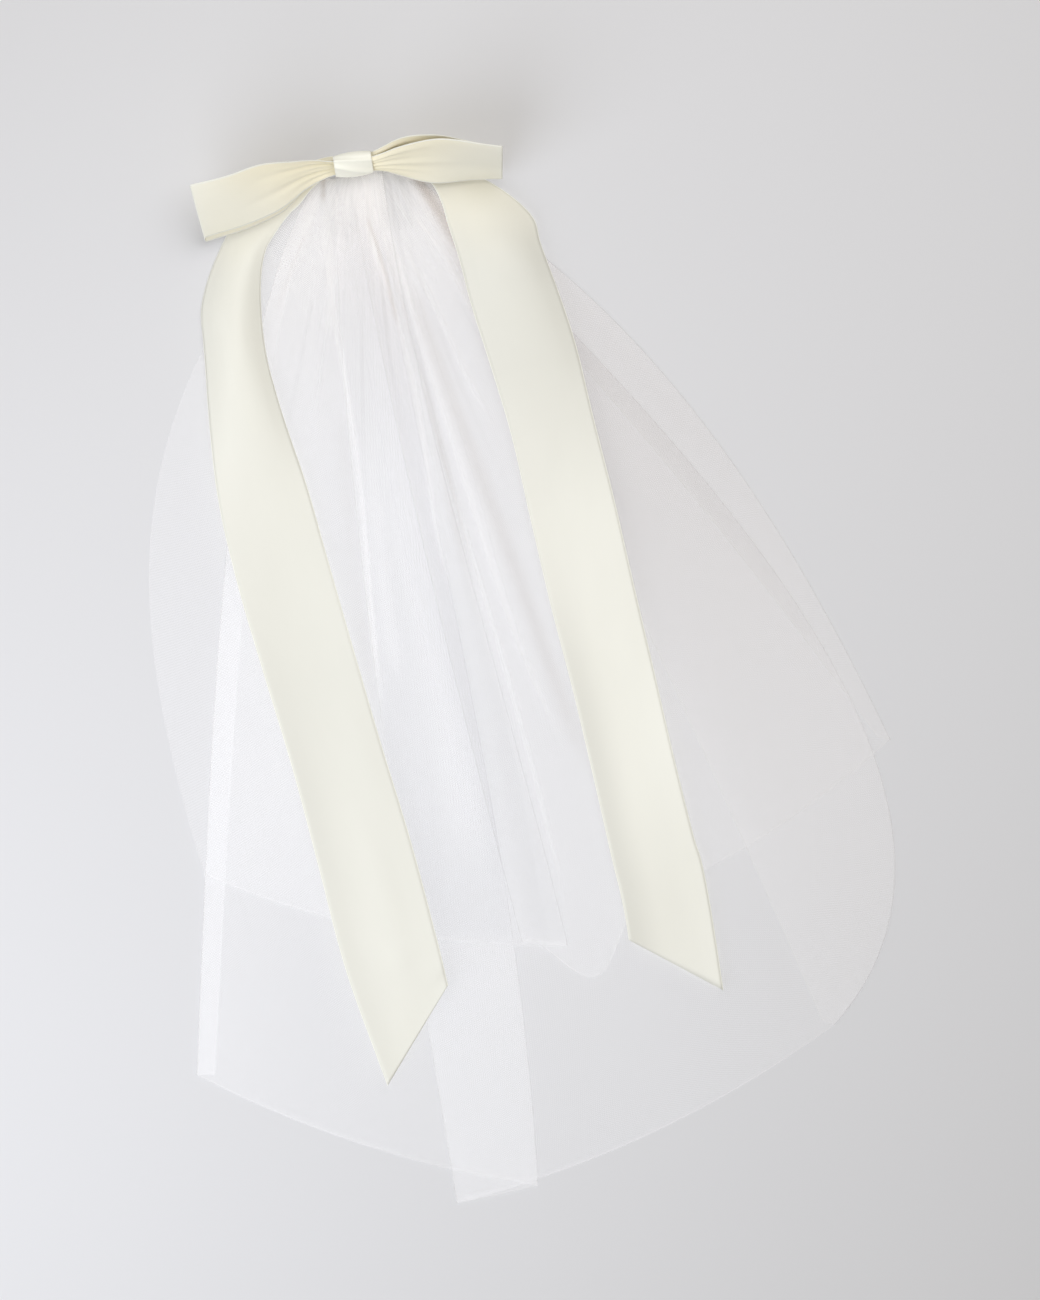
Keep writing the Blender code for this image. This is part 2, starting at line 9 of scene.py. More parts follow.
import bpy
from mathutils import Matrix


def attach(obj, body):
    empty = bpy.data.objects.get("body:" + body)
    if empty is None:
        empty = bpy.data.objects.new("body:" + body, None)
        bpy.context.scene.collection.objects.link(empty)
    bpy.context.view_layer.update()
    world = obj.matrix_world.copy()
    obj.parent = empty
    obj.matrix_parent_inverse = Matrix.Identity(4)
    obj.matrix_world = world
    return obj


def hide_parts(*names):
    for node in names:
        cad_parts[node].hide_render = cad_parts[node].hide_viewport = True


bl_info = {
    "name": "Bridal Veil",
    "version": (1, 0, 0),
    "blender": (4, 5, 0),
    "location": "View3D > Sidebar > Veil",
    "description": "Builds a short tulle veil with a satin ribbon bow, laid flat",
    "category": "Add Mesh",
}

from collections import namedtuple
from math import cos, pi, radians, sin, sqrt

import bmesh
import bpy
import numpy as np
from bpy.props import FloatProperty, FloatVectorProperty, IntProperty, PointerProperty
from mathutils import Vector

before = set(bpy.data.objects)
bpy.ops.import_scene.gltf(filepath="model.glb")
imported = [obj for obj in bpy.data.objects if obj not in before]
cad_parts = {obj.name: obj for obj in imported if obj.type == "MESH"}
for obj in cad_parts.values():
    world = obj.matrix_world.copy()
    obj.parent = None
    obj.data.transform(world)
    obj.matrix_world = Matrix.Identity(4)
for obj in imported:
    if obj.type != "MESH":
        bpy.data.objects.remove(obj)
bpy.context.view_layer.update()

MM = 0.001
PLAN_CENTRE = (0.5, -1.0)
BODY = "root"
CLOTH_UV = "cloth"

# Photograph: its size in pixels, and the real size of a pixel on the table
PHOTO_SIZE = (1040, 1300)
PIXEL = 0.54
PLAN_ORIGIN_PIXEL = (518, 669)

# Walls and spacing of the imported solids, whose form the cloth here follows
TULLE_WALL = 1.0
SATIN_WALL = 1.0
SEAM_GAP = 0.3
PITCH_AT_GATHER = 1.7
PITCH_AT_HEM = 2.2
PITCH_REACH = 250.0
FOLD_ROUND = 1.5
FOLD_TURNS = tuple(pi * part / 8.0 for part in range(1, 8))

# How far the net and the ribbons settle below the middle of their solids
TULLE_SETTLE = 0.35
SATIN_SETTLE = 0.75

# The point that the tulle fans out from, and the tilted line that it is gathered on
FAN = (-83.0, 329.0)
GATHER_TILT = radians(8.5)
GATHER_POINT = (-84.0, 268.0)

# Comb, and how the tulle that it carries comes down to the table round it
COMB_CENTRE = (-84.0, 263.2)
COMB_TEETH = 15
COMB_PITCH = 3.2
COMB_TOP = 4.4
COMB_CLEARANCE = 0.9
COMB_SLOPE = 50.0
COMB_LEVEL_ABOVE = 10.0
COMB_LEVEL_BELOW = 12.0

# Folds and cut edges of the tulle, from the gather to the hem
FoldLine = namedtuple("FoldLine", "root_x upper_x upper_y lower_x lower_y hem_x hem_y")
FOLDS = {
    "lower_left_edge": FoldLine(-101.5, -144, 183, -151.5, 16, -163.5, -219),
    "lower_left_fold": FoldLine(-109, -156.5, 183, -164.5, 16, -173.5, -219),
    "lower_top_fold": FoldLine(-79, -55.6, 107, 1, -87, 11, -278.6),
    "lower_under_fold": FoldLine(-99, -97, 102, -66.5, -87, -33, -288.4),
    "lower_right_fold": FoldLine(-60, 98, 118, 279, -71, 171, -192),
    "lower_right_edge": FoldLine(-66, 23, 134, 98, -38, 164, -189.5),
    "upper_left_edge": FoldLine(-107, -214, 140, -218, 45, -169, -111),
    "upper_top_fold": FoldLine(-73, -58, 145, -4, -17, 27, -149),
    "upper_under_fold": FoldLine(-92, -69, 134, -34, -11, 2, -147),
    "upper_right_fold": FoldLine(-60, 66, 205, 139, 91, 201, -38),
    "upper_right_edge": FoldLine(-67, 23, 183, 109, 80, 194, -37),
}

# Stretches of tulle between two folds, from one cut edge of a tier to the other
Stretch = namedtuple("Stretch", "start end columns rests_on")
STRETCHES = {
    "lower_turned_strip": Stretch("lower_left_edge", "lower_left_fold", 10, ()),
    "lower_face": Stretch("lower_left_fold", "lower_top_fold", 240,
                          ("lower_turned_strip", "lower_middle")),
    "lower_middle": Stretch("lower_top_fold", "lower_under_fold", 54, ("lower_back",)),
    "lower_back": Stretch("lower_under_fold", "lower_right_fold", 200, ()),
    "lower_turned_back": Stretch("lower_right_fold", "lower_right_edge", 44, ("lower_back",)),
    "upper_face": Stretch("upper_left_edge", "upper_top_fold", 300,
                          ("upper_middle", "lower_face")),
    "upper_middle": Stretch("upper_top_fold", "upper_under_fold", 44, ("upper_back",)),
    "upper_back": Stretch("upper_under_fold", "upper_right_fold", 300,
                          ("lower_face", "lower_back", "lower_turned_back")),
    "upper_turned_back": Stretch("upper_right_fold", "upper_right_edge", 28, ("upper_back",)),
}
LOWER_TIER = ("lower_turned_strip", "lower_face", "lower_middle", "lower_back",
              "lower_turned_back")
UPPER_TIER = ("upper_face", "upper_middle", "upper_back", "upper_turned_back")
LOWER_ROWS = 120
UPPER_ROWS = 104
ROW_EASE = 1.25

# Cut of each tier, flat: width along the hem, width along the gathers, length, and flat area
Cut = namedtuple("Cut", "hem top length area")
LOWER_CUT = Cut(0.56, 0.20, 0.552, 0.235)
UPPER_CUT = Cut(0.53, 0.20, 0.424, 0.165)

# The short tier's hem hangs lower where its cloth is slack
DIP_STRETCH = "upper_back"
DIP_ANGLE = 14.2
DIP_HALF_ANGLE = 4.0
DIP_DEPTH = 30.0

# Soft gathers that run out from the comb, as in the solids
Gather = namedtuple("Gather", "root_angle tip_angle reach height")
GATHERS = (
    Gather(-19, -21, 170, 1.4),
    Gather(-14, -14, 220, 1.7),
    Gather(-9, -6, 270, 1.9),
    Gather(-4, 2, 340, 2.3),
    Gather(1, 8, 320, 1.8),
    Gather(6, 13, 400, 2.3),
    Gather(11, 19, 360, 2.2),
    Gather(15.5, 25, 270, 1.9),
    Gather(20, 32, 340, 2.1),
)
GATHER_START = 62.0
GATHER_GROWTH = 110.0
GATHER_FADE_FROM = 0.45
GATHER_HALF_ANGLE = 3.2
GATHER_ROOT_HEIGHT = 0.5

# Share of those gathers' height in the solids that the net takes up
GATHER_SHARE = 0.7

# Finer creases of the tulle: angle about the fan point at the start and at the end,
# the distances that they run between, height, and half of their width
Crease = namedtuple("Crease", "start_angle end_angle start end height half_width")
CREASES = (
    Crease(-20.5, -22.5, 64, 150, 0.7, 1.6),
    Crease(-17.0, -17.6, 66, 210, 0.8, 2.0),
    Crease(-13.0, -11.2, 80, 330, 0.7, 2.2),
    Crease(-10.5, -8.6, 64, 190, 0.9, 1.8),
    Crease(-6.7, -7.8, 100, 260, 1.0, 2.2),
    Crease(-5.2, -2.8, 64, 240, 0.9, 1.7),
    Crease(-1.6, 1.4, 90, 420, 0.8, 2.4),
    Crease(0.2, 2.6, 64, 170, 1.0, 1.6),
    Crease(3.0, 7.0, 70, 300, 0.8, 1.9),
    Crease(6.2, 9.7, 80, 300, 1.1, 2.2),
    Crease(8.3, 15.9, 96, 460, 1.1, 2.6),
    Crease(9.6, 12.6, 64, 210, 0.9, 1.7),
    Crease(12.3, 21.5, 84, 330, 1.2, 2.6),
    Crease(13.6, 17.0, 250, 520, 1.0, 3.0),
    Crease(17.5, 27.0, 70, 300, 1.0, 2.4),
    Crease(19.0, 35.0, 90, 360, 0.9, 2.8),
    Crease(4.6, 5.4, 330, 560, 0.7, 3.2),
    Crease(-3.6, -4.6, 360, 560, 0.6, 3.4),
)

# Fine ruffles where the net is drawn up: ripple counts over the fan, their weights and phases
Ruffle = namedtuple("Ruffle", "per_degree weight phase")
RUFFLES = (Ruffle(0.43, 0.5, 0.4), Ruffle(0.61, 0.35, 2.1), Ruffle(0.27, 0.3, 4.0))
RUFFLE_HEIGHT = 0.35
RUFFLE_ROOT = 0.35
RUFFLE_FADE = (70.0, 330.0)
RUFFLE_GROWTH = 60.0
RUFFLE_TWIST = 0.0016

# Lines where the net bunches up and lies denser, and troughs where shade is painted into the net's
# colour: angles about the fan point at the start, a third and two thirds of the way, and the end,
# the distances that they run between, half of their width, and how much denser or how darkly shaded
FanLine = namedtuple("FanLine", "angle_1 angle_2 angle_3 angle_4 start end half_width amount")
BUNCHES = (
    FanLine(-15.0, -3.0, 0.4, 2.2, 85, 365, 1.6, 0.9),
    FanLine(-12.5, -8.9, -8.0, -7.2, 92, 155, 1.4, 0.6),
    FanLine(-1.0, 8.0, 8.8, 10.0, 80, 300, 1.5, 0.7),
    FanLine(8.0, 12.6, 14.4, 16.8, 85, 400, 1.6, 0.7),
    FanLine(11.0, 15.8, 17.6, 20.0, 100, 210, 1.4, 0.7),
    FanLine(16.5, 21.8, 23.3, 24.0, 85, 165, 1.4, 0.7),
    FanLine(9.3, 12.1, 13.3, 13.4, 150, 485, 1.3, 0.9),
    FanLine(4.9, 6.0, 7.1, 8.0, 225, 310, 1.2, 0.5),
    FanLine(1.0, 1.6, 2.4, 3.4, 185, 345, 5.0, 0.4),
    FanLine(0.5, 5.0, 7.2, 8.6, 105, 470, 13.0, 0.4),
)
BUNCH_HEIGHT = 0.8
# Painted shade along these troughs, and over the shadowed gap beside the right tail near the bow
PAINTED_SHADE_LINES = (
    FanLine(10.8, 15.0, 16.8, 17.5, 100, 420, 4.5, 0.5),
    FanLine(3.5, 9.8, 11.2, 12.0, 78, 300, 2.4, 0.3),
    FanLine(-0.5, 4.3, 6.3, 7.4, 80, 150, 1.8, 0.5),
    FanLine(-4.2, -2.2, -0.6, 0.9, 180, 345, 4.0, 0.2),
    FanLine(-18.5, -19.0, -19.3, -19.5, 95, 150, 1.3, 0.4),
    FanLine(23.5, 25.5, 26.5, 27.0, 62, 122, 4.5, 0.85),
    FanLine(-20.0, -18.5, -17.0, -16.0, 62, 82, 2.2, 0.7),
    FanLine(26.8, 27.0, 27.0, 27.2, 330, 480, 4.0, 0.25),
)

# Where the net is drawn together at the gathers, it is this much denser, easing off outwards
ROOT_BUNCH = 1.1
ROOT_REACH = 95.0

# Painted shade on the net: over the gathers, and on the right, the side the veil turns from the window
ROOT_SHADE = 0.27
ROOT_SHADE_REACH = 190.0
SIDE_SHADE = 0.62
SIDE_SHADE_FROM = 15.0
SIDE_SHADE_GROWTH = 16.0
SIDE_SHADE_FADE = (200.0, 520.0)

# The long tier lies in closer folds at the left, and every fold opens out towards the hem
LEFT_BUNCH = 0.4
LEFT_BUNCH_FROM = -3.0
LEFT_BUNCH_GROWTH = 6.0
FOLDS_OPEN_FROM = 0.45
FOLDS_OPEN_GROWTH = 0.3

# How far a layer goes on past the edge of the one that it rests on, before it sinks beside it
EDGE_MARGIN = 4.0
EDGE_SLOPE = 8.0
EDGE_SLOPE_SPREAD = 0.045

# Width of the ribbon, in metres
RIBBON_WIDTH = 0.05

# The tails, from under the knot to the slanting cut
TailRow = namedtuple("TailRow", "left_x left_y right_x right_y crown")
LEFT_TAIL = (
    TailRow(-88.5, 277, -88.5, 268.5, 0),
    TailRow(-106, 275, -103.5, 265, 0),
    TailRow(-131, 263, -116.5, 251.8, 0),
    TailRow(-150, 245, -126, 242, 0.5),
    TailRow(-163.6, 219.8, -137.3, 222.5, 5),
    TailRow(-170.6, 196.6, -138.8, 199.3, 9),
    TailRow(-169, 169.6, -136.5, 173.3, 9),
    TailRow(-166.3, 131.8, -127.5, 138.8, 7),
    TailRow(-161.5, 91.3, -114.5, 100.4, 3),
    TailRow(-151.7, 48.1, -103.1, 60.5, 1),
    TailRow(-137.2, -1.6, -89.1, 11.9, 1),
    TailRow(-122, -51.8, -74.5, -38.3, 1),
    TailRow(-108, -104.2, -58.3, -91.3, 1),
    TailRow(-93.4, -159.8, -44.3, -143.6, 0.6),
    TailRow(-70.2, -224.6, -37.8, -170.6, 0.5),
)
RIGHT_TAIL = (
    TailRow(-88, 268.5, -88, 277, 0),
    TailRow(-66, 267.5, -60, 276.5, 0),
    TailRow(-46.5, 262, -25, 267.5, 0),
    TailRow(-38.8, 243, 5.0, 247.5, 3),
    TailRow(-32.3, 223.6, 12.8, 227.3, 7),
    TailRow(-25.6, 198.2, 21.8, 203.2, 6),
    TailRow(-16, 167.9, 30.6, 176.6, 4),
    TailRow(-4.2, 129.1, 39.8, 138.8, 2),
    TailRow(7, 80.5, 51.8, 91.3, 1),
    TailRow(17.8, 34.6, 62.1, 46.4, 1),
    TailRow(29.7, -11.3, 72.9, 0.5, 1),
    TailRow(41, -58.9, 83.7, -46.4, 1),
    TailRow(51.3, -104.2, 94.5, -89.6, 1),
    TailRow(57, -128, 102, -118, 1),
    TailRow(60, -146.3, 110.7, -173.3, 0.5),
)
TAIL_ROWS = 36
TAIL_COLUMNS = 5
TAIL_REACH = 7.0
TAIL_EASING_ROUNDS = 6
TAIL_FINE = (280, 28)

# The tails curl up a little at both edges further down, and lie in slow waves along their length
TAIL_CUP = 2.2
TAIL_CUP_FROM = 0.25
TAIL_CUP_GROWTH = 0.3
TAIL_WAVES = 3.5
TAIL_WAVE_HEIGHT = 0.5
TAIL_WAVE_SKEW = 1.5

# The bow's loops: the middle line of the front layer from the knot to the end, the ribbon's
# width and lean there, and how far behind and below it the back layer runs
LoopRow = namedtuple("LoopRow", "x y z width lean gap drop")
LEFT_LOOP = (
    LoopRow(-89, 270.2, 26.8, 13, 64, 2.2, 0.8),
    LoopRow(-98.5, 269, 26.8, 14, 64, 1.8, 2.5),
    LoopRow(-108, 267.5, 30.2, 22, 62, 2.2, 4),
    LoopRow(-118, 264.5, 34.7, 31, 62, 2.4, 4.5),
    LoopRow(-130, 259.6, 37.7, 44, 61, 2.3, 6.5),
    LoopRow(-150, 251.5, 38.2, 50, 59.5, 2.3, 7.5),
    LoopRow(-171, 246.2, 37.2, 50, 57.5, 2.4, 7.5),
)
RIGHT_LOOP = (
    LoopRow(-88, 270.5, 26.8, 13, 64, 3, 0),
    LoopRow(-78.5, 271.8, 26.8, 14, 64, 3, 0),
    LoopRow(-62.4, 272.8, 32.2, 30, 62, 5.2, 0),
    LoopRow(-43.8, 272.4, 38.2, 44, 63, 3.6, 2),
    LoopRow(-25.2, 272.4, 39.2, 50, 69, 2.2, 4.5),
    LoopRow(-9.4, 272.1, 38.7, 50, 72.5, 2.2, 5.5),
)
LOOP_ROWS = 15
LOOP_COLUMNS = 5
LOOP_TURN_ROWS = 4
LOOP_CROWN = 1.2
LOOP_CROWN_FROM = 6.0
LOOP_CROWN_GROWTH = 6.0
LOOP_FINE = (230, 44)

# The loops' lower rim stands out a little, and their face waves softly
LOOP_CURL = 0.8
LOOP_WAVE_HEIGHT = 0.8
LOOP_WAVE_TURN = 7.0
LOOP_WAVE_SKEW = 2.0

# Pleats that the knot presses into each loop: place across the ribbon, height, how far they
# run towards the loop's end as a share of a layer, and half of their width across
Pleat = namedtuple("Pleat", "across height reach half_width")
LEFT_PLEATS = (
    Pleat(0.14, 1.8, 0.46, 0.07),
    Pleat(0.33, 2.3, 0.72, 0.08),
    Pleat(0.52, 1.7, 0.44, 0.07),
    Pleat(0.70, 2.4, 0.64, 0.08),
    Pleat(0.88, 1.7, 0.48, 0.07),
)
RIGHT_PLEATS = (
    Pleat(0.12, 1.7, 0.42, 0.07),
    Pleat(0.30, 2.2, 0.58, 0.08),
    Pleat(0.49, 2.1, 0.74, 0.08),
    Pleat(0.68, 1.7, 0.48, 0.07),
    Pleat(0.86, 1.9, 0.60, 0.08),
)

# Band round the middle of the bow
KNOT_CENTRE = (-88.5, 271.5, 26.2)
KNOT_BAND = 20.5
KNOT_LEAN = radians(64)
KNOT_HALF_WIDTH = 9.4
KNOT_HALF_DEPTH = 4.7
KNOT_SQUARENESS = 2.2
KNOT_WAIST = -1.1
KNOT_FINE = (121, 36)

# Folds across the knot's band: where they cross it at its two sides, as a share round, and size
KnotFold = namedtuple("KnotFold", "start end height half_width")
KNOT_FOLDS = (
    KnotFold(0.15, 0.30, 1.3, 0.03),
    KnotFold(0.31, 0.38, 0.8, 0.025),
    KnotFold(0.05, 0.12, 0.8, 0.025),
)

# Clear comb: section through a tooth, from the bar's upper edge to the tip: distance down,
# height of the middle, half of the thickness, and half of the width across
CombRow = namedtuple("CombRow", "down middle half_thickness half_width")
TOOTH_ROWS = (
    CombRow(1.2, 2.8, 1.1, 0.78),
    CombRow(3.6, 2.85, 1.05, 0.8),
    CombRow(8, 2.6, 0.95, 0.8),
    CombRow(16, 1.9, 0.85, 0.74),
    CombRow(22, 1.4, 0.8, 0.66),
    CombRow(26, 1.02, 0.72, 0.54),
    CombRow(28.4, 0.8, 0.55, 0.36),
    CombRow(29.3, 0.72, 0.3, 0.18),
)
TOOTH_SIDES = 12
BAR_SPAN = (-2.6, 2.4)
BAR_MIDDLE = 2.8
BAR_HALF_THICKNESS = 1.55
BAR_OVERHANG = 1.0
BAR_SIDES = 20

# The bar is drawn in at both of its ends: over this length, to this share of its section
BAR_END = 0.4
BAR_END_SHARE = 0.8

# Thread round the comb's bar: steps to a turn, how far it runs out beside the bar and over it, and
# the height of its middle
BINDING_STEPS = 12
BINDING_REACH = 3.3
BINDING_RISE = 2.35
BINDING_MIDDLE = 2.75

# Camera: straight above the middle of the photograph
CAMERA_HEIGHT = 5.0
SENSOR = 36.0

FLOOR_SIZE = 14.0


class TulleSettings(bpy.types.PropertyGroup):
    """Net of both tiers"""
    colour: FloatVectorProperty(name="Colour", description="Colour of the net's thread",
                                subtype="COLOR", size=3, default=(0.972, 0.967, 0.96), min=0, max=1)
    cell: FloatProperty(name="Cell", description="Distance between two holes of the net",
                        default=0.0011, min=0.0005, max=0.01, precision=4, unit="LENGTH")
    cover: FloatProperty(name="Cover", description="Share of the light that one flat layer stops",
                         default=0.115, min=0.02, max=0.9, subtype="FACTOR")
    relief: FloatProperty(name="Crease height", description="Height of the creases and ruffles",
                          default=1.0, min=0.0, max=1.6)


class SatinSettings(bpy.types.PropertyGroup):
    """Satin ribbon of the bow"""
    colour: FloatVectorProperty(name="Colour", description="Colour of the satin",
                                subtype="COLOR", size=3, default=(0.90, 0.893, 0.80), min=0, max=1)
    # Colour of the warm painted shade deep in the folds
    shaded: FloatVectorProperty(name="Shaded colour", description="Warmer colour deep in the folds",
                                subtype="COLOR", size=3, default=(0.94, 0.875, 0.655), min=0, max=1)
    thickness: FloatProperty(name="Thickness", description="Thickness of the ribbon",
                             default=0.00035, min=0.0001, max=0.0008, precision=5, unit="LENGTH")
    thread: FloatProperty(name="Thread", description="Distance between two threads of the weave",
                          default=0.0004, min=0.0001, max=0.002, precision=5, unit="LENGTH")
    selvedge: FloatProperty(name="Selvedge", description="Thickness of the woven edge",
                            default=0.0005, min=0.0001, max=0.001, precision=5, unit="LENGTH")


class CombSettings(bpy.types.PropertyGroup):
    """Clear comb and the thread that binds it"""
    teeth: IntProperty(name="Teeth", description="Number of teeth", default=COMB_TEETH, min=4, max=30)
    pitch: FloatProperty(name="Pitch", description="Distance between two teeth",
                         default=COMB_PITCH * MM, min=0.002, max=0.006, precision=4, unit="LENGTH")
    thread: FloatProperty(name="Thread", description="Thickness of the sewing thread",
                          default=0.0004, min=0.0001, max=0.001, precision=5, unit="LENGTH")


class StageSettings(bpy.types.PropertyGroup):
    """Table and light"""
    floor: FloatVectorProperty(name="Table", description="Colour of the table top",
                               subtype="COLOR", size=3, default=(0.735, 0.735, 0.74), min=0, max=1)
    key_power: FloatProperty(name="Window", description="Power of the soft light from the lower left",
                             default=3.77, min=0.0, max=100.0, unit="POWER")
    fill_power: FloatProperty(name="Fill", description="Power of the weaker light beyond the comb",
                              default=5.9, min=0.0, max=100.0, unit="POWER")
    ambient: FloatProperty(name="Room light", description="Strength of the light from all sides",
                           default=0.395, min=0.0, max=2.0)


def smoothstep(value):
    """Ease from 0 to 1."""
    value = np.clip(value, 0.0, 1.0)
    return value * value * (3.0 - 2.0 * value)


def to_frame(points):
    """Plan positions in millimetres as positions in the frame, in metres."""
    points = np.asarray(points, dtype=float)
    return (points - np.array([PLAN_CENTRE[0], PLAN_CENTRE[1], 0.0])) * MM


def plan_point(angle, distance):
    """Plan position of a point given by its angle and distance about the fan point."""
    return FAN[0] + distance * np.sin(angle), FAN[1] - distance * np.cos(angle)


def fan_place(x, y):
    """Angle and distance of a plan position about the fan point."""
    return np.arctan2(x - FAN[0], FAN[1] - y), np.hypot(x - FAN[0], y - FAN[1])


def fold_curve(name, share):
    """Angle and distance of a fold line at shares of its length."""
    fold = FOLDS[name]
    root_y = GATHER_POINT[1] + (fold.root_x - GATHER_POINT[0]) * np.tan(GATHER_TILT)
    share = np.asarray(share, dtype=float)
    near = (1.0 - share) ** 3
    upper = 3.0 * (1.0 - share) ** 2 * share
    lower = 3.0 * (1.0 - share) * share ** 2
    far = share ** 3
    x = near * fold.root_x + upper * fold.upper_x + lower * fold.lower_x + far * fold.hem_x
    y = near * root_y + upper * fold.upper_y + lower * fold.lower_y + far * fold.hem_y
    return fan_place(x, y)


CURVE_SHARES = np.linspace(0.0, 1.0, 61)
CURVES = {name: fold_curve(name, CURVE_SHARES) for name in FOLDS}


def fold_angle(name, distance):
    """Angle of a fold line at a distance from the fan point."""
    angles, distances = CURVES[name]
    return np.interp(distance, distances, angles)


def hem_dip(name, angle):
    """How much further out the hem of a stretch hangs at an angle."""
    if name != DIP_STRETCH:
        return np.zeros_like(angle)
    across = (np.degrees(angle) - DIP_ANGLE) / DIP_HALF_ANGLE
    return np.where(np.abs(across) < 1.0, DIP_DEPTH * np.cos(across * pi / 2.0) ** 2, 0.0)


def presence(name, angle, distance):
    """1 where a stretch of tulle lies, easing to 0 beside it."""
    stretch = STRETCHES[name]
    sides = (fold_angle(stretch.start, distance), fold_angle(stretch.end, distance))
    low = np.minimum(*sides)
    high = np.maximum(*sides)
    beside = np.maximum(np.maximum(low - angle, angle - high), 0.0) * distance
    ends = sorted((CURVES[side][0][-1], CURVES[side][1][-1]) for side in stretch[:2])
    hem = np.interp(angle, [end[0] for end in ends], [end[1] for end in ends])
    hem = hem + hem_dip(name, angle)
    root = min(CURVES[side][1][0] for side in stretch[:2])
    past = np.maximum(np.maximum(distance - hem, root - distance), 0.0)
    slope = EDGE_SLOPE + EDGE_SLOPE_SPREAD * distance
    return 1.0 - smoothstep((np.hypot(beside, past) - EDGE_MARGIN) / slope)


def level(name, angle, distance):
    """Level of a stretch of tulle, counted from the layers that it rests on."""
    return stacked(STRETCHES[name].rests_on, angle, distance)


def stacked(names, angle, distance):
    """Level of whatever lies on the named stretches of tulle."""
    found = np.zeros_like(angle)
    for name in names:
        on_it = presence(name, angle, distance) * (level(name, angle, distance) + 1.0)
        found = np.maximum(found, on_it)
    return found


def layer_pitch(distance):
    """Height from one layer of tulle to the next."""
    ease = smoothstep((distance - GATHER_START) / PITCH_REACH)
    return PITCH_AT_GATHER + (PITCH_AT_HEM - PITCH_AT_GATHER) * ease


def comb_rise(x, y):
    """Height of the middle of the lowest layer, carried by the comb and falling to the table."""
    along = (x - COMB_CENTRE[0]) * cos(GATHER_TILT) + (y - COMB_CENTRE[1]) * sin(GATHER_TILT)
    down = -(x - COMB_CENTRE[0]) * sin(GATHER_TILT) + (y - COMB_CENTRE[1]) * cos(GATHER_TILT)
    half = COMB_TEETH * COMB_PITCH / 2.0
    beside = np.maximum(np.abs(along) - half, 0.0)
    past = np.maximum(np.maximum(-down - COMB_LEVEL_BELOW, down - COMB_LEVEL_ABOVE), 0.0)
    on_comb = COMB_TOP + COMB_CLEARANCE
    flat = TULLE_WALL / 2.0
    return flat + (on_comb - flat) * (1.0 - smoothstep(np.hypot(beside, past) / COMB_SLOPE))


def gather_height(angle, distance):
    """Height of the soft gathers, which every layer follows."""
    height = np.zeros_like(angle)
    for gather in GATHERS:
        run = (distance - GATHER_START) / (gather.reach - GATHER_START)
        middle = gather.root_angle + (gather.tip_angle - gather.root_angle) * np.clip(run, 0, 1)
        across = np.clip((np.degrees(angle) - middle) / GATHER_HALF_ANGLE, -1.0, 1.0)
        grown = smoothstep((distance - GATHER_START) / GATHER_GROWTH)
        peak = GATHER_ROOT_HEIGHT + (gather.height - GATHER_ROOT_HEIGHT) * grown
        fade = 1.0 - smoothstep((run - GATHER_FADE_FROM) / (1.0 - GATHER_FADE_FROM))
        height = np.maximum(height, peak * fade * np.cos(across * pi / 2.0) ** 2)
    return GATHER_SHARE * height


def through_four(values, share):
    """Smooth curve through four values, evenly apart, at shares of its length."""
    first, second, third, last = values
    return ((1.0 - share) * (1.0 - 3.0 * share) * (2.0 - 3.0 * share) * first / 2.0
            + 4.5 * share * (2.0 - 3.0 * share) * (1.0 - share) * second
            + 4.5 * share * (3.0 * share - 1.0) * (1.0 - share) * third
            + share * (3.0 * share - 1.0) * (3.0 * share - 2.0) * last / 2.0)


def on_fan_lines(lines, angle, distance):
    """How strongly each place lies on one of the lines, up to that line's amount."""
    found = np.zeros_like(angle)
    for line in lines:
        run = (distance - line.start) / (line.end - line.start)
        middle = through_four(line[:4], np.clip(run, 0.0, 1.0))
        across = np.radians(np.degrees(angle) - middle) * distance / line.half_width
        ends = smoothstep(run / 0.15) * (1.0 - smoothstep((run - 0.8) / 0.2))
        found = np.maximum(found, line.amount * ends * np.exp(-across * across))
    return found


def crease_height(angle, distance):
    """Height of the fine creases and ruffles, which every layer follows too."""
    height = BUNCH_HEIGHT * on_fan_lines(BUNCHES, angle, distance)
    for crease in CREASES:
        run = (distance - crease.start) / (crease.end - crease.start)
        middle = crease.start_angle + (crease.end_angle - crease.start_angle) * np.clip(run, 0, 1)
        across = np.radians(np.degrees(angle) - middle) * distance / crease.half_width
        grown = smoothstep(run / 0.2) * (1.0 - smoothstep((run - 0.35) / 0.65))
        height = np.maximum(height, crease.height * grown * np.exp(-across * across))
    ripple = np.zeros_like(angle)
    for ruffle in RUFFLES:
        turns = np.degrees(angle) * ruffle.per_degree + RUFFLE_TWIST * distance
        ripple = ripple + ruffle.weight * (0.5 + 0.5 * np.cos(2.0 * pi * turns + ruffle.phase))
    start, end = RUFFLE_FADE
    grown = RUFFLE_ROOT + (1.0 - RUFFLE_ROOT) * smoothstep((distance - start) / RUFFLE_GROWTH)
    fade = 1.0 - smoothstep((distance - start) / (end - start))
    return height + RUFFLE_HEIGHT * ripple * grown * fade


def tulle_height(angle, distance, layers):
    """Height of a layer of net at a level above the table, as in the solids."""
    x, y = plan_point(angle, distance)
    lift = comb_rise(x, y) + gather_height(angle, distance)
    return lift + layer_pitch(distance) * layers


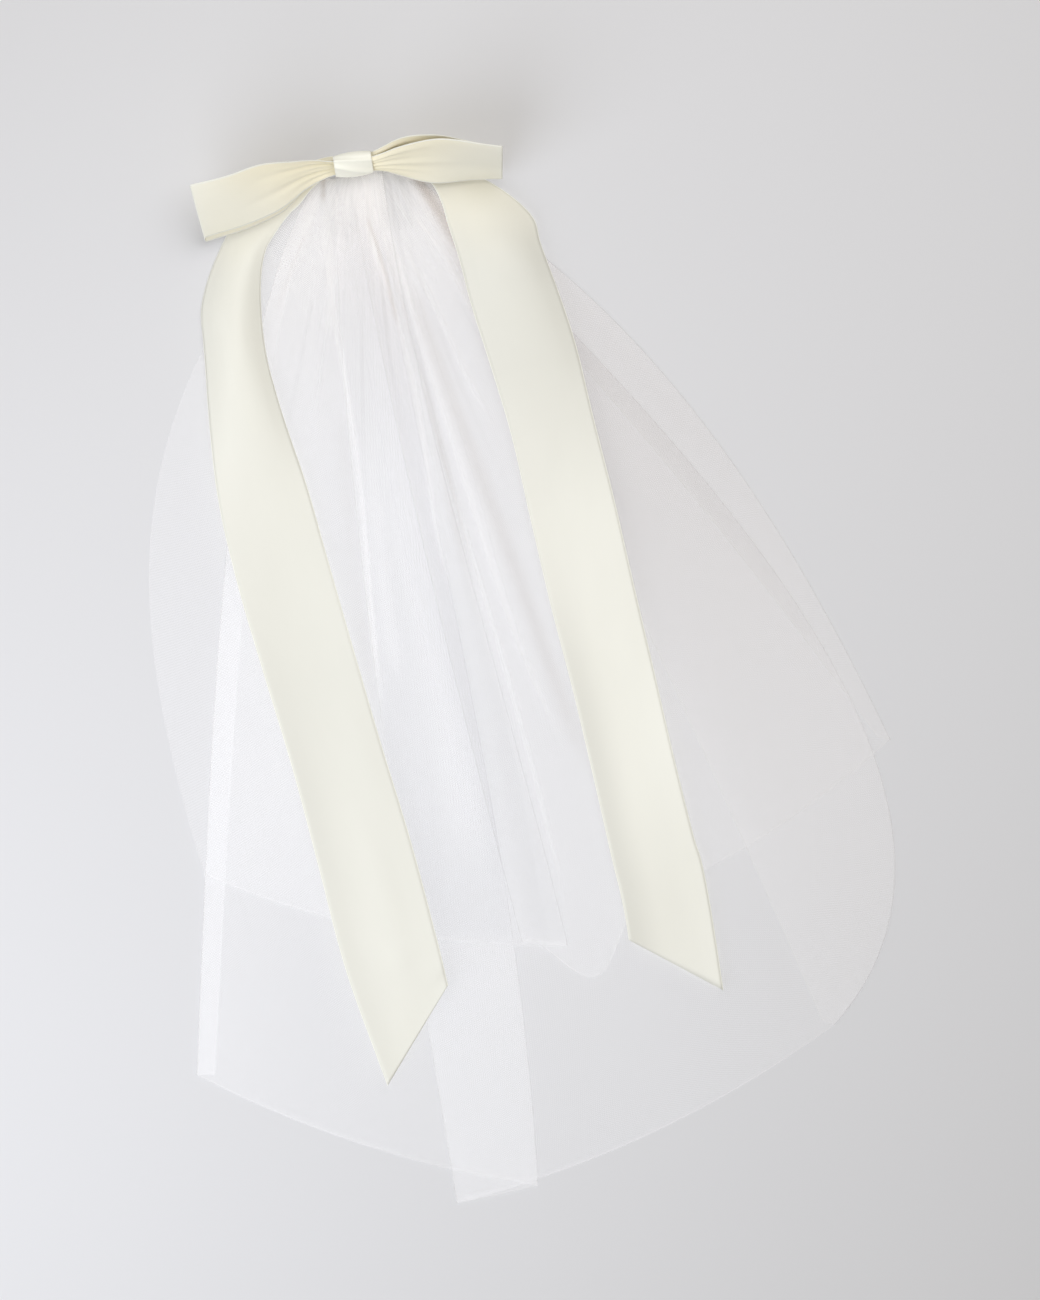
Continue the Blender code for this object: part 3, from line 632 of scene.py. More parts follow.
def stretch_columns(name, shares, turned_at_start, turned_at_end, relief):
    """Columns of points across one stretch of tulle, held back from its folds."""
    stretch = STRETCHES[name]
    start_angle, start_distance = fold_curve(stretch.start, shares)
    end_angle, end_distance = fold_curve(stretch.end, shares)
    width = np.abs(end_angle - start_angle) * (start_distance + end_distance) / 2.0
    held = np.minimum(FOLD_ROUND / width, 0.4)
    first = held * turned_at_start
    last = 1.0 - held * turned_at_end
    step = np.linspace(0.0, 1.0, stretch.columns + 1)[:, None]
    across = first + (last - first) * step
    angle = start_angle + (end_angle - start_angle) * across
    distance = start_distance + (end_distance - start_distance) * across
    distance = distance + hem_dip(name, angle) * shares ** 3
    height = tulle_height(angle, distance, level(name, angle, distance))
    height = height + crease_height(angle, distance) * relief - TULLE_SETTLE
    return np.stack([*plan_point(angle, distance), height], axis=2)


def turned_columns(fold, shares, before, after):
    """Columns round a fold, from the last column of one stretch to the first of the next."""
    edge = np.stack(plan_point(*fold_curve(fold, shares)), axis=1)
    columns = []
    for turn in FOLD_TURNS:
        column = (before + after) / 2.0 + (before - after) / 2.0 * cos(turn)
        column[:, :2] += (edge - column[:, :2]) * sin(turn)
        columns.append(column)
    return np.array(columns)


def tier_grid(names, rows, relief):
    """Points of a whole tier, cut edge to cut edge, from the gather to the hem."""
    shares = np.linspace(0.0, 1.0, rows) ** ROW_EASE
    parts = []
    for place, name in enumerate(names):
        columns = stretch_columns(name, shares, place > 0, place < len(names) - 1, relief)
        if parts:
            fold = STRETCHES[name].start
            parts.append(turned_columns(fold, shares, parts[-1][-1], columns[0]))
        parts.append(columns)
    return np.concatenate(parts)


def on_curve(values, slopes, index, part, span):
    """Values on a smooth curve, part of the way from each index to the next."""
    start = (2 * part ** 3 - 3 * part ** 2 + 1) * values[index]
    start = start + (part ** 3 - 2 * part ** 2 + part) * span * slopes[index]
    end = (3 * part ** 2 - 2 * part ** 3) * values[index + 1]
    end = end + (part ** 3 - part ** 2) * span * slopes[index + 1]
    return start + end


def smooth_through(rows, count):
    """Rows read evenly from a smooth curve through a table's rows."""
    rows = np.asarray(rows, dtype=float)
    steps = np.linalg.norm(np.diff(rows[:, :2], axis=0), axis=1)
    places = np.concatenate(([0.0], np.cumsum(steps)))
    slopes = np.gradient(rows, places, axis=0)
    wanted = np.linspace(0.0, places[-1], count)
    index = np.clip(np.searchsorted(places, wanted, side="right") - 1, 0, len(places) - 2)
    span = (places[index + 1] - places[index])[:, None]
    part = (wanted - places[index])[:, None] / span
    return on_curve(rows, slopes, index, part, span)


def refined(grid, rows, columns):
    """A grid of points read more finely from a smooth surface through it."""
    for axis, count in ((0, rows), (1, columns)):
        grid = np.moveaxis(grid, axis, 0)
        slopes = np.gradient(grid, axis=0)
        wanted = np.linspace(0.0, len(grid) - 1.0, count)
        index = np.minimum(wanted.astype(int), len(grid) - 2)
        part = (wanted - index)[:, None, None]
        grid = np.moveaxis(on_curve(grid, slopes, index, part, 1.0), 0, axis)
    return grid


def rest_height(x, y):
    """Height of the middle of a ribbon that rests on the tulle at a plan position."""
    angle, distance = fan_place(x, y)
    layers = stacked(tuple(STRETCHES), angle, distance)
    on_top = tulle_height(angle, distance, layers)
    spare = layer_pitch(distance) - (TULLE_WALL + SATIN_WALL) / 2.0 - SEAM_GAP
    return np.maximum(on_top - spare * np.minimum(layers, 1.0), SATIN_WALL / 2.0)


def highest_nearby(x, y, reach):
    """Highest rest height within a reach of each plan position."""
    highest = rest_height(x, y)
    for ring in (0.5 * reach, reach):
        for turn in np.arange(8) * pi / 4.0:
            nearby = rest_height(x + ring * cos(turn), y + ring * sin(turn))
            highest = np.maximum(highest, nearby)
    return highest


def eased(heights):
    """Heights evened out along and across a strip, never below where they started."""
    evened = heights.copy()
    for _ in range(TAIL_EASING_ROUNDS):
        padded = np.pad(evened, 1, mode="edge")
        along = (padded[:-2, 1:-1] + padded[2:, 1:-1]) / 2.0
        across = (padded[1:-1, :-2] + padded[1:-1, 2:]) / 2.0
        evened = np.maximum((along + across) / 2.0, heights)
    return evened


def tail_grid(table):
    """Points of a tail, laid on the tulle."""
    rows = smooth_through(table, TAIL_ROWS)
    across = np.linspace(0.0, 1.0, TAIL_COLUMNS + 1)
    x = rows[:, 0:1] + (rows[:, 2:3] - rows[:, 0:1]) * across
    y = rows[:, 1:2] + (rows[:, 3:4] - rows[:, 1:2]) * across
    z = eased(highest_nearby(x, y, TAIL_REACH))
    z = z + rows[:, 4:5] * (1.0 - (2.0 * across - 1.0) ** 2)
    run = np.linspace(0.0, 1.0, TAIL_ROWS)[:, None]
    grown = smoothstep((run - TAIL_CUP_FROM) / TAIL_CUP_GROWTH)
    z = z + TAIL_CUP * grown * (2.0 * across - 1.0) ** 2
    wave = 1.0 + np.sin(2.0 * pi * TAIL_WAVES * run + TAIL_WAVE_SKEW * across)
    z = z + TAIL_WAVE_HEIGHT * grown * wave
    grid = refined(np.stack([x, y, z], axis=2), *TAIL_FINE)
    grid[:, :, 2] -= SATIN_SETTLE
    return grid


def loop_grid(table):
    """Points of a loop: front layer out, round the end, and back layer in."""
    rows = smooth_through(table, LOOP_ROWS)
    centre = rows[:, :3]
    heading = np.gradient(centre[:, :2], axis=0)
    heading = heading / np.linalg.norm(heading, axis=1, keepdims=True)
    outward = 1.0 if heading[-1, 0] > 0 else -1.0
    away = np.stack([-heading[:, 1], heading[:, 0]], axis=1) * outward
    lean = np.radians(rows[:, 4])
    side = np.column_stack([away * np.cos(lean)[:, None], np.sin(lean)])
    face = np.column_stack([away * -np.sin(lean)[:, None], np.cos(lean)])
    across = np.linspace(-0.5, 0.5, LOOP_COLUMNS + 1)
    puff = (1.0 - (2.0 * across) ** 2) * LOOP_CROWN
    grown = smoothstep((np.arange(LOOP_ROWS) - LOOP_CROWN_FROM) / LOOP_CROWN_GROWTH)
    front = centre[:, None] + side[:, None] * (rows[:, 3][:, None] * across)[:, :, None]
    front = front + face[:, None] * (puff * grown[:, None])[:, :, None]
    run = np.linspace(0.0, 1.0, LOOP_ROWS)[:, None]
    wave = np.sin(LOOP_WAVE_TURN * run + LOOP_WAVE_SKEW * across)
    curl = LOOP_CURL * (0.5 - across) ** 2 + LOOP_WAVE_HEIGHT * wave
    front = front + face[:, None] * (curl * smoothstep((run - 0.2) / 0.4))[:, :, None]
    behind = face * rows[:, 5:6] + side * rows[:, 6:7]
    back = front - behind[:, None]
    turn_out = np.append(heading[-1], 0.0) * rows[-1, 5] / 2.0
    turned = []
    for turn in np.linspace(0.0, pi, LOOP_TURN_ROWS + 2)[1:-1]:
        middle = (front[-1] + back[-1]) / 2.0 + (front[-1] - back[-1]) / 2.0 * cos(turn)
        turned.append(middle + turn_out * sin(turn))
    return refined(np.concatenate([front, np.array(turned), back[::-1]]), *LOOP_FINE)


def pleated(grid, pleats):
    """A loop's points with the pleats that run out from the knot on both of its layers."""
    rows, columns = grid.shape[:2]
    from_knot = 1.0 - np.abs(np.linspace(-1.0, 1.0, rows))[:, None]
    across = np.linspace(0.0, 1.0, columns)[None, :]
    height = np.zeros((rows, columns))
    for pleat in pleats:
        ridge = np.exp(-((across - pleat.across) / pleat.half_width) ** 2)
        run = from_knot / pleat.reach
        height = height + pleat.height * ridge * (1.0 - smoothstep(run)) * smoothstep(run / 0.2 + 0.35)
    front = np.linspace(-1.0, 1.0, rows)[:, None] < 0.0
    return grid + sheet_normals(grid) * (height * np.where(front, 1.0, -1.0))[:, :, None]


def flattened(value, power):
    """Sine or cosine of a turn raised to a power, its sign kept, for a round with flatter sides."""
    return np.sign(value) * abs(value) ** power


def knot_grid():
    """Points of the band round the bow's middle, its last row back on its first."""
    along = np.array([cos(GATHER_TILT), sin(GATHER_TILT), 0.0])
    away = np.array([-sin(GATHER_TILT), cos(GATHER_TILT), 0.0])
    up = np.array([0.0, 0.0, 1.0])
    side = away * cos(KNOT_LEAN) + up * sin(KNOT_LEAN)
    face = up * cos(KNOT_LEAN) - away * sin(KNOT_LEAN)
    rows, columns = KNOT_FINE
    grid = []
    for share in np.linspace(0.0, 1.0, rows):
        turn = share * 2.0 * pi
        ring_side = flattened(cos(turn), 2.0 / KNOT_SQUARENESS)
        ring_face = flattened(sin(turn), 2.0 / KNOT_SQUARENESS)
        row = []
        for step in np.linspace(-1.0, 1.0, columns):
            flare = KNOT_WAIST * step * step
            for fold in KNOT_FOLDS:
                middle = fold.start + (fold.end - fold.start) * (step + 1.0) / 2.0
                flare += fold.height * np.exp(-((share - middle) / fold.half_width) ** 2)
            offset = side * ring_side * (KNOT_HALF_WIDTH + flare)
            offset = offset + face * ring_face * (KNOT_HALF_DEPTH + flare)
            row.append(np.array(KNOT_CENTRE) + offset + along * step * KNOT_BAND / 2.0)
        grid.append(row)
    return np.array(grid)


def sheet_normals(grid):
    """Directions across a sheet at every point of its grid."""
    normal = np.cross(np.gradient(grid, axis=0), np.gradient(grid, axis=1))
    return normal / np.linalg.norm(normal, axis=2, keepdims=True)


class Tree:
    """Short way to add and join the nodes of one tree."""

    def __init__(self, nodes):
        self.nodes = nodes.nodes
        self.links = nodes.links

    def add(self, kind, inputs=None, **settings):
        """New node with its settings, and values or sockets on its inputs."""
        node = self.nodes.new(kind)
        for name, value in settings.items():
            setattr(node, name, value)
        for name, value in (inputs or {}).items():
            self.put(node.inputs[name], value)
        return node

    def put(self, socket, value):
        """Join a socket to an input, or set its value."""
        if isinstance(value, bpy.types.NodeSocket):
            self.links.new(value, socket)
        else:
            socket.default_value = value

    def maths(self, operation, *values):
        """Result of one sum."""
        return self.add("ShaderNodeMath", dict(enumerate(values)), operation=operation).outputs[0]

    def scaled(self, vector, factors):
        """A vector with each part multiplied."""
        node = self.add("ShaderNodeVectorMath", {0: vector, 1: factors}, operation="MULTIPLY")
        return node.outputs[0]

    def noise(self, vector, scale, detail=2.0, roughness=0.5):
        """Soft noise from 0 to 1."""
        inputs = {"Vector": vector, "Scale": scale, "Detail": detail, "Roughness": roughness}
        return self.add("ShaderNodeTexNoise", inputs).outputs[0]

    def span(self, value, low, high, out_low=0.0, out_high=1.0):
        """A value taken from one range to another, eased at both ends."""
        inputs = {0: value, 1: low, 2: high, 3: out_low, 4: out_high}
        node = self.add("ShaderNodeMapRange", inputs, interpolation_type="SMOOTHSTEP")
        return node.outputs[0]

    def mixed(self, factor, first, second):
        """Colour between two colours."""
        inputs = {"Factor": factor, 6: first, 7: second}
        return self.add("ShaderNodeMix", inputs, data_type="RGBA").outputs[2]

    def bump(self, height, distance, strength=1.0):
        """Surface direction over a height in units of a distance in metres."""
        inputs = {"Height": height, "Distance": distance, "Strength": strength}
        return self.add("ShaderNodeBump", inputs).outputs[0]


def new_material(name):
    """Empty material with one principled shader on its output."""
    material = bpy.data.materials.new(name)
    material.use_nodes = True
    tree = Tree(material.node_tree)
    shader = tree.nodes["Principled BSDF"]
    return material, tree, shader


def shade(colour, factor):
    """A colour made lighter or darker, as four numbers."""
    return (*(min(part * factor, 1.0) for part in colour), 1.0)


# Colour of the painted shade on the net, where it lies deepest
PAINTED_SHADE_COLOUR = (0.60, 0.54, 0.48, 1.0)

# Share of the light that the net's threads scatter evenly, whichever way the net slopes
NET_SCATTER = 0.72

# Even part of a layer's cover, what its threads add, and where in the wave a thread starts and ends
EVEN_COVER = 0.82
THREAD_COVER = 0.6
THREAD_RANGE = (-0.2, -1.1)

# Denser streaks along the gathers and paler clouds: how often they come across and along the cloth
STREAKS = (120.0, 3.0, 0.0)
STREAK_RANGE = (0.34, 0.68, 0.78, 1.24)
NET_CLOUDS = (28.0, 10.0, 0.0)

# How level the steepest net counts as, and how much of the light a cut edge stops
LEAST_LEVEL = 0.4
CUT_EDGE_COVER = 0.24

# Satin: how often its slubs and clouds come, its warp threads to a weft thread, and where its woven
# rim starts and is full, in metres from the ribbon's middle
SLUBS = (900.0, 60.0, 0.0)
SATIN_CLOUDS = (45.0, 14.0, 0.0)
WARP_PER_WEFT = 1.7
RIM_RANGE = (0.0238, 0.0246)
# Darkest painted shade on the satin, as a share of its colour
DARKEST_PAINTED_SHADE = 0.62


def tulle_material(name, settings):
    """Net of six-sided holes, thicker to the eye where it is gathered, folded or steep, with painted
    shade.
    """
    material, tree, shader = new_material(name)
    cloth = tree.add("ShaderNodeUVMap", uv_map=CLOTH_UV).outputs[0]
    waves = 4.0 * pi / (sqrt(3.0) * settings.cell)
    total = None
    for turn in (0.0, pi / 3.0, 2.0 * pi / 3.0):
        direction = (waves * cos(turn), waves * sin(turn), 0.0)
        inputs = {0: cloth, 1: direction}
        phase = tree.add("ShaderNodeVectorMath", inputs, operation="DOT_PRODUCT").outputs[1]
        wave = tree.maths("COSINE", phase)
        total = wave if total is None else tree.maths("ADD", total, wave)
    thread = tree.span(total, *THREAD_RANGE)
    cover = tree.maths("MULTIPLY_ADD", thread, settings.cover * THREAD_COVER,
                       settings.cover * EVEN_COVER)
    fullness = tree.add("ShaderNodeAttribute", attribute_name="fullness").outputs["Fac"]
    streak = tree.noise(tree.scaled(cloth, STREAKS), 1.0, 3.0, 0.55)
    streak = tree.span(streak, *STREAK_RANGE)
    gathered = tree.maths("SUBTRACT", fullness, 1.0)
    folds = tree.maths("MULTIPLY_ADD", gathered, streak, 1.0)
    facing = tree.add("ShaderNodeNewGeometry").outputs["Normal"]
    rise = tree.add("ShaderNodeSeparateXYZ", {0: facing}).outputs[2]
    level_share = tree.maths("MAXIMUM", tree.maths("ABSOLUTE", rise), LEAST_LEVEL)
    layers = tree.maths("DIVIDE", folds, level_share)
    clear = tree.maths("POWER", tree.maths("SUBTRACT", 1.0, cover), layers)
    alpha = tree.maths("SUBTRACT", 1.0, clear)
    edge = tree.add("ShaderNodeAttribute", attribute_name="cut_edge").outputs["Fac"]
    alpha = tree.maths("MAXIMUM", alpha, tree.maths("MULTIPLY", edge, CUT_EDGE_COVER))
    tree.put(shader.inputs["Alpha"], alpha)
    cloud = tree.noise(tree.scaled(cloth, NET_CLOUDS), 1.0, 3.0)
    colour = tree.mixed(cloud, shade(settings.colour, 0.975), shade(settings.colour, 1.015))
    # Painted shade: the net's colour is darkened towards the shade colour by this attribute
    trough = tree.add("ShaderNodeAttribute", attribute_name="trough").outputs["Fac"]
    colour = tree.mixed(trough, colour, PAINTED_SHADE_COLOUR)
    tree.put(shader.inputs["Base Color"], colour)
    shader.inputs["Roughness"].default_value = 0.75
    shader.inputs["Specular IOR Level"].default_value = 0.15
    shader.inputs["Sheen Weight"].default_value = 0.2
    shader.inputs["Sheen Roughness"].default_value = 0.6
    level_side = tree.add("ShaderNodeCombineXYZ", {2: tree.maths("SIGN", rise)}).outputs[0]
    inputs = {"Factor": NET_SCATTER, 4: tree.bump(thread, 0.00005, 0.4), 5: level_side}
    scattered = tree.add("ShaderNodeMix", inputs, data_type="VECTOR").outputs[1]
    tree.put(shader.inputs["Normal"], scattered)
    return material


def satin_material(name, settings, tone):
    """Ivory satin: long floats along the ribbon, faint cross threads, a woven edge, and painted light
    and shade.
    """
    material, tree, shader = new_material(name)
    cloth = tree.add("ShaderNodeUVMap", uv_map=CLOTH_UV).outputs[0]
    parts = tree.add("ShaderNodeSeparateXYZ", {0: cloth})
    turns = 2.0 * pi / settings.thread
    weft = tree.maths("SINE", tree.maths("MULTIPLY", parts.outputs[1], turns))
    warp = tree.maths("SINE", tree.maths("MULTIPLY", parts.outputs[0], turns * WARP_PER_WEFT))
    weave = tree.maths("MULTIPLY_ADD", warp, 0.6, weft)
    slub = tree.noise(tree.scaled(cloth, SLUBS), 1.0, 2.0)
    cloud = tree.noise(tree.scaled(cloth, SATIN_CLOUDS), 1.0, 3.0, 0.55)
    off_middle = tree.maths("SUBTRACT", parts.outputs[0], RIBBON_WIDTH / 2.0)
    rim = tree.span(tree.maths("ABSOLUTE", off_middle), *RIM_RANGE)
    # tone lightens the whole satin as painted light: above 1 on the bow's loops and knot
    body = tree.mixed(cloud, shade(settings.colour, 0.975 * tone), shade(settings.colour, 1.02 * tone))
    # Painted shade: the colour warms towards the shaded colour deep in the folds
    warmth = tree.add("ShaderNodeAttribute", attribute_name="warmth").outputs["Fac"]
    body = tree.mixed(warmth, body, shade(settings.shaded, tone))
    # Painted shade: the colour darkens where this attribute is high
    dim = tree.add("ShaderNodeAttribute", attribute_name="dim").outputs["Fac"]
    body = tree.mixed(dim, body, shade(settings.colour, DARKEST_PAINTED_SHADE))
    edge_colour = shade(settings.colour, 0.96 * tone)
    tree.put(shader.inputs["Base Color"], tree.mixed(rim, body, edge_colour))
    rough = tree.maths("MULTIPLY_ADD", slub, 0.14, 0.36)
    tree.put(shader.inputs["Roughness"], tree.maths("MULTIPLY_ADD", rim, 0.15, rough))
    shader.inputs["Specular IOR Level"].default_value = 0.4
    shader.inputs["Anisotropic"].default_value = 0.5
    shader.inputs["Sheen Weight"].default_value = 0.18
    shader.inputs["Sheen Roughness"].default_value = 0.4
    tangent = tree.add("ShaderNodeTangent", direction_type="UV_MAP", uv_map=CLOTH_UV).outputs[0]
    tree.put(shader.inputs["Tangent"], tangent)
    height = tree.maths("MULTIPLY_ADD", slub, 0.8, tree.maths("MULTIPLY", weave, 0.25))
    tree.put(shader.inputs["Normal"], tree.bump(height, 0.00004, 0.5))
    return material


def comb_material(name):
    """Clear moulded plastic with faint flow lines."""
    material, tree, shader = new_material(name)
    place = tree.add("ShaderNodeTexCoord").outputs["Object"]
    flow = tree.noise(tree.scaled(place, (260.0, 60.0, 260.0)), 1.0, 3.0)
    colour = tree.mixed(flow, (0.86, 0.88, 0.87, 1), (0.95, 0.96, 0.95, 1))
    tree.put(shader.inputs["Base Color"], colour)
    tree.put(shader.inputs["Roughness"], tree.maths("MULTIPLY_ADD", flow, 0.12, 0.08))
    shader.inputs["IOR"].default_value = 1.49
    shader.inputs["Alpha"].default_value = 0.42
    shader.inputs["Coat Weight"].default_value = 0.3
    tree.put(shader.inputs["Normal"], tree.bump(flow, 0.0001, 0.3))
    return material


def thread_material(name, dark, light):
    """Sewing thread or woven edge with its twist, between two colours."""
    material, tree, shader = new_material(name)
    place = tree.add("ShaderNodeTexCoord").outputs["Object"]
    twist = tree.add("ShaderNodeTexWave", {"Vector": place, "Scale": 900.0, "Distortion": 1.5},
                     bands_direction="DIAGONAL").outputs["Fac"]
    tree.put(shader.inputs["Base Color"], tree.mixed(twist, dark, light))
    shader.inputs["Roughness"].default_value = 0.7
    shader.inputs["Sheen Weight"].default_value = 0.3
    tree.put(shader.inputs["Normal"], tree.bump(twist, 0.00006, 0.6))
    return material


def floor_material(name, colour):
    """Pale painted table with a barely uneven coat."""
    material, tree, shader = new_material(name)
    place = tree.add("ShaderNodeTexCoord").outputs["Object"]
    coat = tree.noise(place, 220.0, 4.0)
    patch = tree.noise(place, 3.0, 2.0)
    tone = tree.maths("MULTIPLY_ADD", coat, 0.3, tree.maths("MULTIPLY", patch, 0.7))
    tree.put(shader.inputs["Base Color"], tree.mixed(tone, shade(colour, 0.99), shade(colour, 1.01)))
    shader.inputs["Roughness"].default_value = 0.85
    shader.inputs["Specular IOR Level"].default_value = 0.2
    tree.put(shader.inputs["Normal"], tree.bump(coat, 0.0002, 0.1))
    return material


def sheet_object(name, grid, cloth, material, attributes=None, closed=False):
    """Object with one sheet of cloth: points in millimetres, its flat pattern in metres."""
    rows, columns = grid.shape[:2]
    mesh = bpy.data.meshes.new(name)
    index = np.arange(rows * columns).reshape(rows, columns)
    corners = (index[:-1, :-1], index[:-1, 1:], index[1:, 1:], index[1:, :-1])
    faces = np.stack([corner.ravel() for corner in corners], axis=1)
    mesh.from_pydata(to_frame(grid).reshape(-1, 3).tolist(), [], faces.tolist())
    layer = mesh.uv_layers.new(name=CLOTH_UV)
    layer.data.foreach_set("uv", cloth.reshape(-1, 2)[faces.ravel()].ravel())
    for key, values in (attributes or {}).items():
        stored = mesh.attributes.new(key, "FLOAT", "POINT")
        stored.data.foreach_set("value", values.ravel().astype(np.float32))
    if closed:
        merge_doubles(mesh, 0.00001)
    mesh.shade_smooth()
    mesh.materials.append(material)
    made = bpy.data.objects.new(name, mesh)
    bpy.context.scene.collection.objects.link(made)
    return made


def merge_doubles(mesh, distance, face_outward=False):
    """Close a mesh where its ends meet, and turn its faces outwards if asked."""
    shaped = bmesh.new()
    shaped.from_mesh(mesh)
    bmesh.ops.remove_doubles(shaped, verts=shaped.verts, dist=distance)
    if face_outward:
        bmesh.ops.recalc_face_normals(shaped, faces=shaped.faces)
    shaped.to_mesh(mesh)
    shaped.free()


def thickened(piece, thickness):
    """Give a sheet its real thickness, evenly on both sides."""
    wall = piece.modifiers.new("Wall", "SOLIDIFY")
    wall.thickness = thickness
    wall.offset = 0.0
    wall.use_even_offset = False


def settle_in(piece, nodes):
    """A finished piece rides on the veil and stands for its solids."""
    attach(piece, BODY)
    if nodes:
        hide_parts(*nodes)


def net_shade(angle, distance):
    """How much shade is painted on the net over the gathers and on the veil's right side."""
    at_root = ROOT_SHADE * (1.0 - smoothstep((distance - GATHER_START) / ROOT_SHADE_REACH))
    side = smoothstep((np.degrees(angle) - SIDE_SHADE_FROM) / SIDE_SHADE_GROWTH)
    start, end = SIDE_SHADE_FADE
    fade = 1.0 - 0.5 * smoothstep((distance - start) / (end - start))
    return np.maximum(at_root, SIDE_SHADE * side * fade)


def tier_pattern(grid, cut):
    """Flat pattern of a tier in metres, and how far down its length each point lies."""
    across = np.linalg.norm(np.diff(grid, axis=0), axis=2)
    widest = np.maximum(across[:, -1], across.max(axis=1) * 0.9)
    share = np.concatenate(([0.0], np.cumsum(widest))) / widest.sum()
    down = np.linalg.norm(np.diff(grid, axis=1), axis=2)
    length = np.concatenate([np.zeros((len(grid), 1)), np.cumsum(down, axis=1)], axis=1)
    run = length / length[:, -1:]
    width = (cut.top + (cut.hem - cut.top) * run) / MM
    return np.stack([(share[:, None] - 0.5) * width, -length], axis=2) * MM, run


def tier_fullness(grid, cloth, run, left_bunch):
    """How much denser than one flat layer the net is at every point of a tier."""
    across = np.linalg.norm(np.diff(grid, axis=0), axis=2)
    spacing = np.linalg.norm(np.diff(cloth, axis=0), axis=2) / MM
    fullness = np.clip(spacing / np.maximum(across, 0.01), 1.0, 6.0)
    fullness = np.concatenate([fullness[:1], (fullness[1:] + fullness[:-1]) / 2.0, fullness[-1:]])
    angle, distance = fan_place(grid[:, :, 0], grid[:, :, 1])
    opened = 1.0 - smoothstep((run - FOLDS_OPEN_FROM) / FOLDS_OPEN_GROWTH)
    at_root = 1.0 - smoothstep((distance - GATHER_START) / ROOT_REACH)
    at_left = smoothstep((LEFT_BUNCH_FROM - np.degrees(angle)) / LEFT_BUNCH_GROWTH)
    fullness = (1.0 + (fullness - 1.0) * opened) * (1.0 + ROOT_BUNCH * at_root)
    fullness = fullness * (1.0 + on_fan_lines(BUNCHES, angle, distance))
    return fullness * (1.0 + left_bunch * at_left)


def tier_object(name, names, rows, cut, left_bunch, settings):
    """One tier of tulle with the flat pattern and fullness of its cloth, and shade painted on it."""
    grid = tier_grid(names, rows, settings.relief)
    cloth, run = tier_pattern(grid, cut)
    angle, distance = fan_place(grid[:, :, 0], grid[:, :, 1])
    edge = np.zeros(grid.shape[:2])
    edge[(0, -1), :] = 1.0
    edge[:, -1] = 1.0
    kept = {
        "fullness": tier_fullness(grid, cloth, run, left_bunch),
        "cut_edge": edge,
        # Painted shade: along the troughs, over the gathers and on the veil's right side
        "trough": np.maximum(on_fan_lines(PAINTED_SHADE_LINES, angle, distance), net_shade(angle, distance)),
    }
    made = sheet_object(name, grid, cloth, tulle_material(name + "_net", settings), kept)
    made.visible_shadow = False
    return made


class VEIL_OT_tiers(bpy.types.Operator):
    """Build both tiers of tulle"""
    bl_idname = "veil.tiers"
    bl_label = "Tulle tiers"
    bl_options = {"REGISTER", "UNDO"}

    def execute(self, context):
        settings = context.scene.veil_tulle
        lower = tier_object("long_tier", LOWER_TIER, LOWER_ROWS, LOWER_CUT, LEFT_BUNCH, settings)
        settle_in(lower, ("tulle_lower_tier",))
        upper = tier_object("short_tier", UPPER_TIER, UPPER_ROWS, UPPER_CUT, 0.0, settings)
        settle_in(upper, ("tulle_upper_tier",))
        return {"FINISHED"}


def ribbon_object(name, grid, width, settings, tone, warmth, dim, closed=False):
    """A length of ribbon on a grid whose rows run across it, with warm and dim painted shade on it."""
    rows, columns = grid.shape[:2]
    steps = np.linalg.norm(np.diff(grid, axis=0), axis=2)
    length = np.concatenate([np.zeros((1, columns)), np.cumsum(steps, axis=0)])
    across = np.linspace(0.0, width, columns)[None, :].repeat(rows, axis=0)
    cloth = np.stack([across, length * MM], axis=2)
    material = satin_material(name + "_satin", settings, tone)
    made = sheet_object(name, grid, cloth, material, {"warmth": warmth, "dim": dim}, closed)
    thickened(made, settings.thickness)
    return made


# Painted highlight: how much lighter the knot's satin is than the tails'; and how much of the warm
# painted shade each ribbon takes in its folds
KNOT_PAINTED_HIGHLIGHT = 1.1
KNOT_PAINTED_SHADE = 0.12
LOOP_PAINTED_SHADE = 0.95
TAIL_PAINTED_SHADE = 0.7

# Painted shade on a loop's back layer
LOOP_BACK_PAINTED_DIMMING = 0.12


def tail_painted_shade(run):
    """Warm painted shade on a tail: most just under the bow."""
    return TAIL_PAINTED_SHADE * (1.0 - smoothstep((run - 0.05) / 0.16))


# Painted shade along each tail: shares of the length, how much shade is painted there, and how much
# more its left edge takes
Dimness = namedtuple("Dimness", "shares amounts left_edge")
LEFT_TAIL_PAINTED_DIMMING = Dimness((0.0, 0.12, 0.27, 0.42, 0.6, 0.8, 1.0),
                        (0.15, 0.25, 0.08, 0.14, 0.27, 0.22, 0.1), 0.1)
RIGHT_TAIL_PAINTED_DIMMING = Dimness((0.0, 0.15, 0.32, 0.5, 0.7, 1.0),
                         (0.2, 0.28, 0.34, 0.08, 0.0, 0.0), 0.3)

# Both tails and both loops: piece, solid that it stands for, form, looks, and length of ribbon
Tail = namedtuple("Tail", "name node table dims length")
TAILS = (
    Tail("ribbon_tail_left", "tail_left", LEFT_TAIL, LEFT_TAIL_PAINTED_DIMMING, 0.53),
    Tail("ribbon_tail_right", "tail_right", RIGHT_TAIL, RIGHT_TAIL_PAINTED_DIMMING, 0.50),
)
Loop = namedtuple("Loop", "name node table pleats tone dim length")
# A loop's fifth and sixth numbers: painted light that lightens its satin, and painted shade over its
# front
LOOPS = (
    Loop("bow_loop_left_ribbon", "bow_loop_left", LEFT_LOOP, LEFT_PLEATS, 1.06, 0.0, 0.172),
    Loop("bow_loop_right_ribbon", "bow_loop_right", RIGHT_LOOP, RIGHT_PLEATS, 1.05, 0.2, 0.162),
)


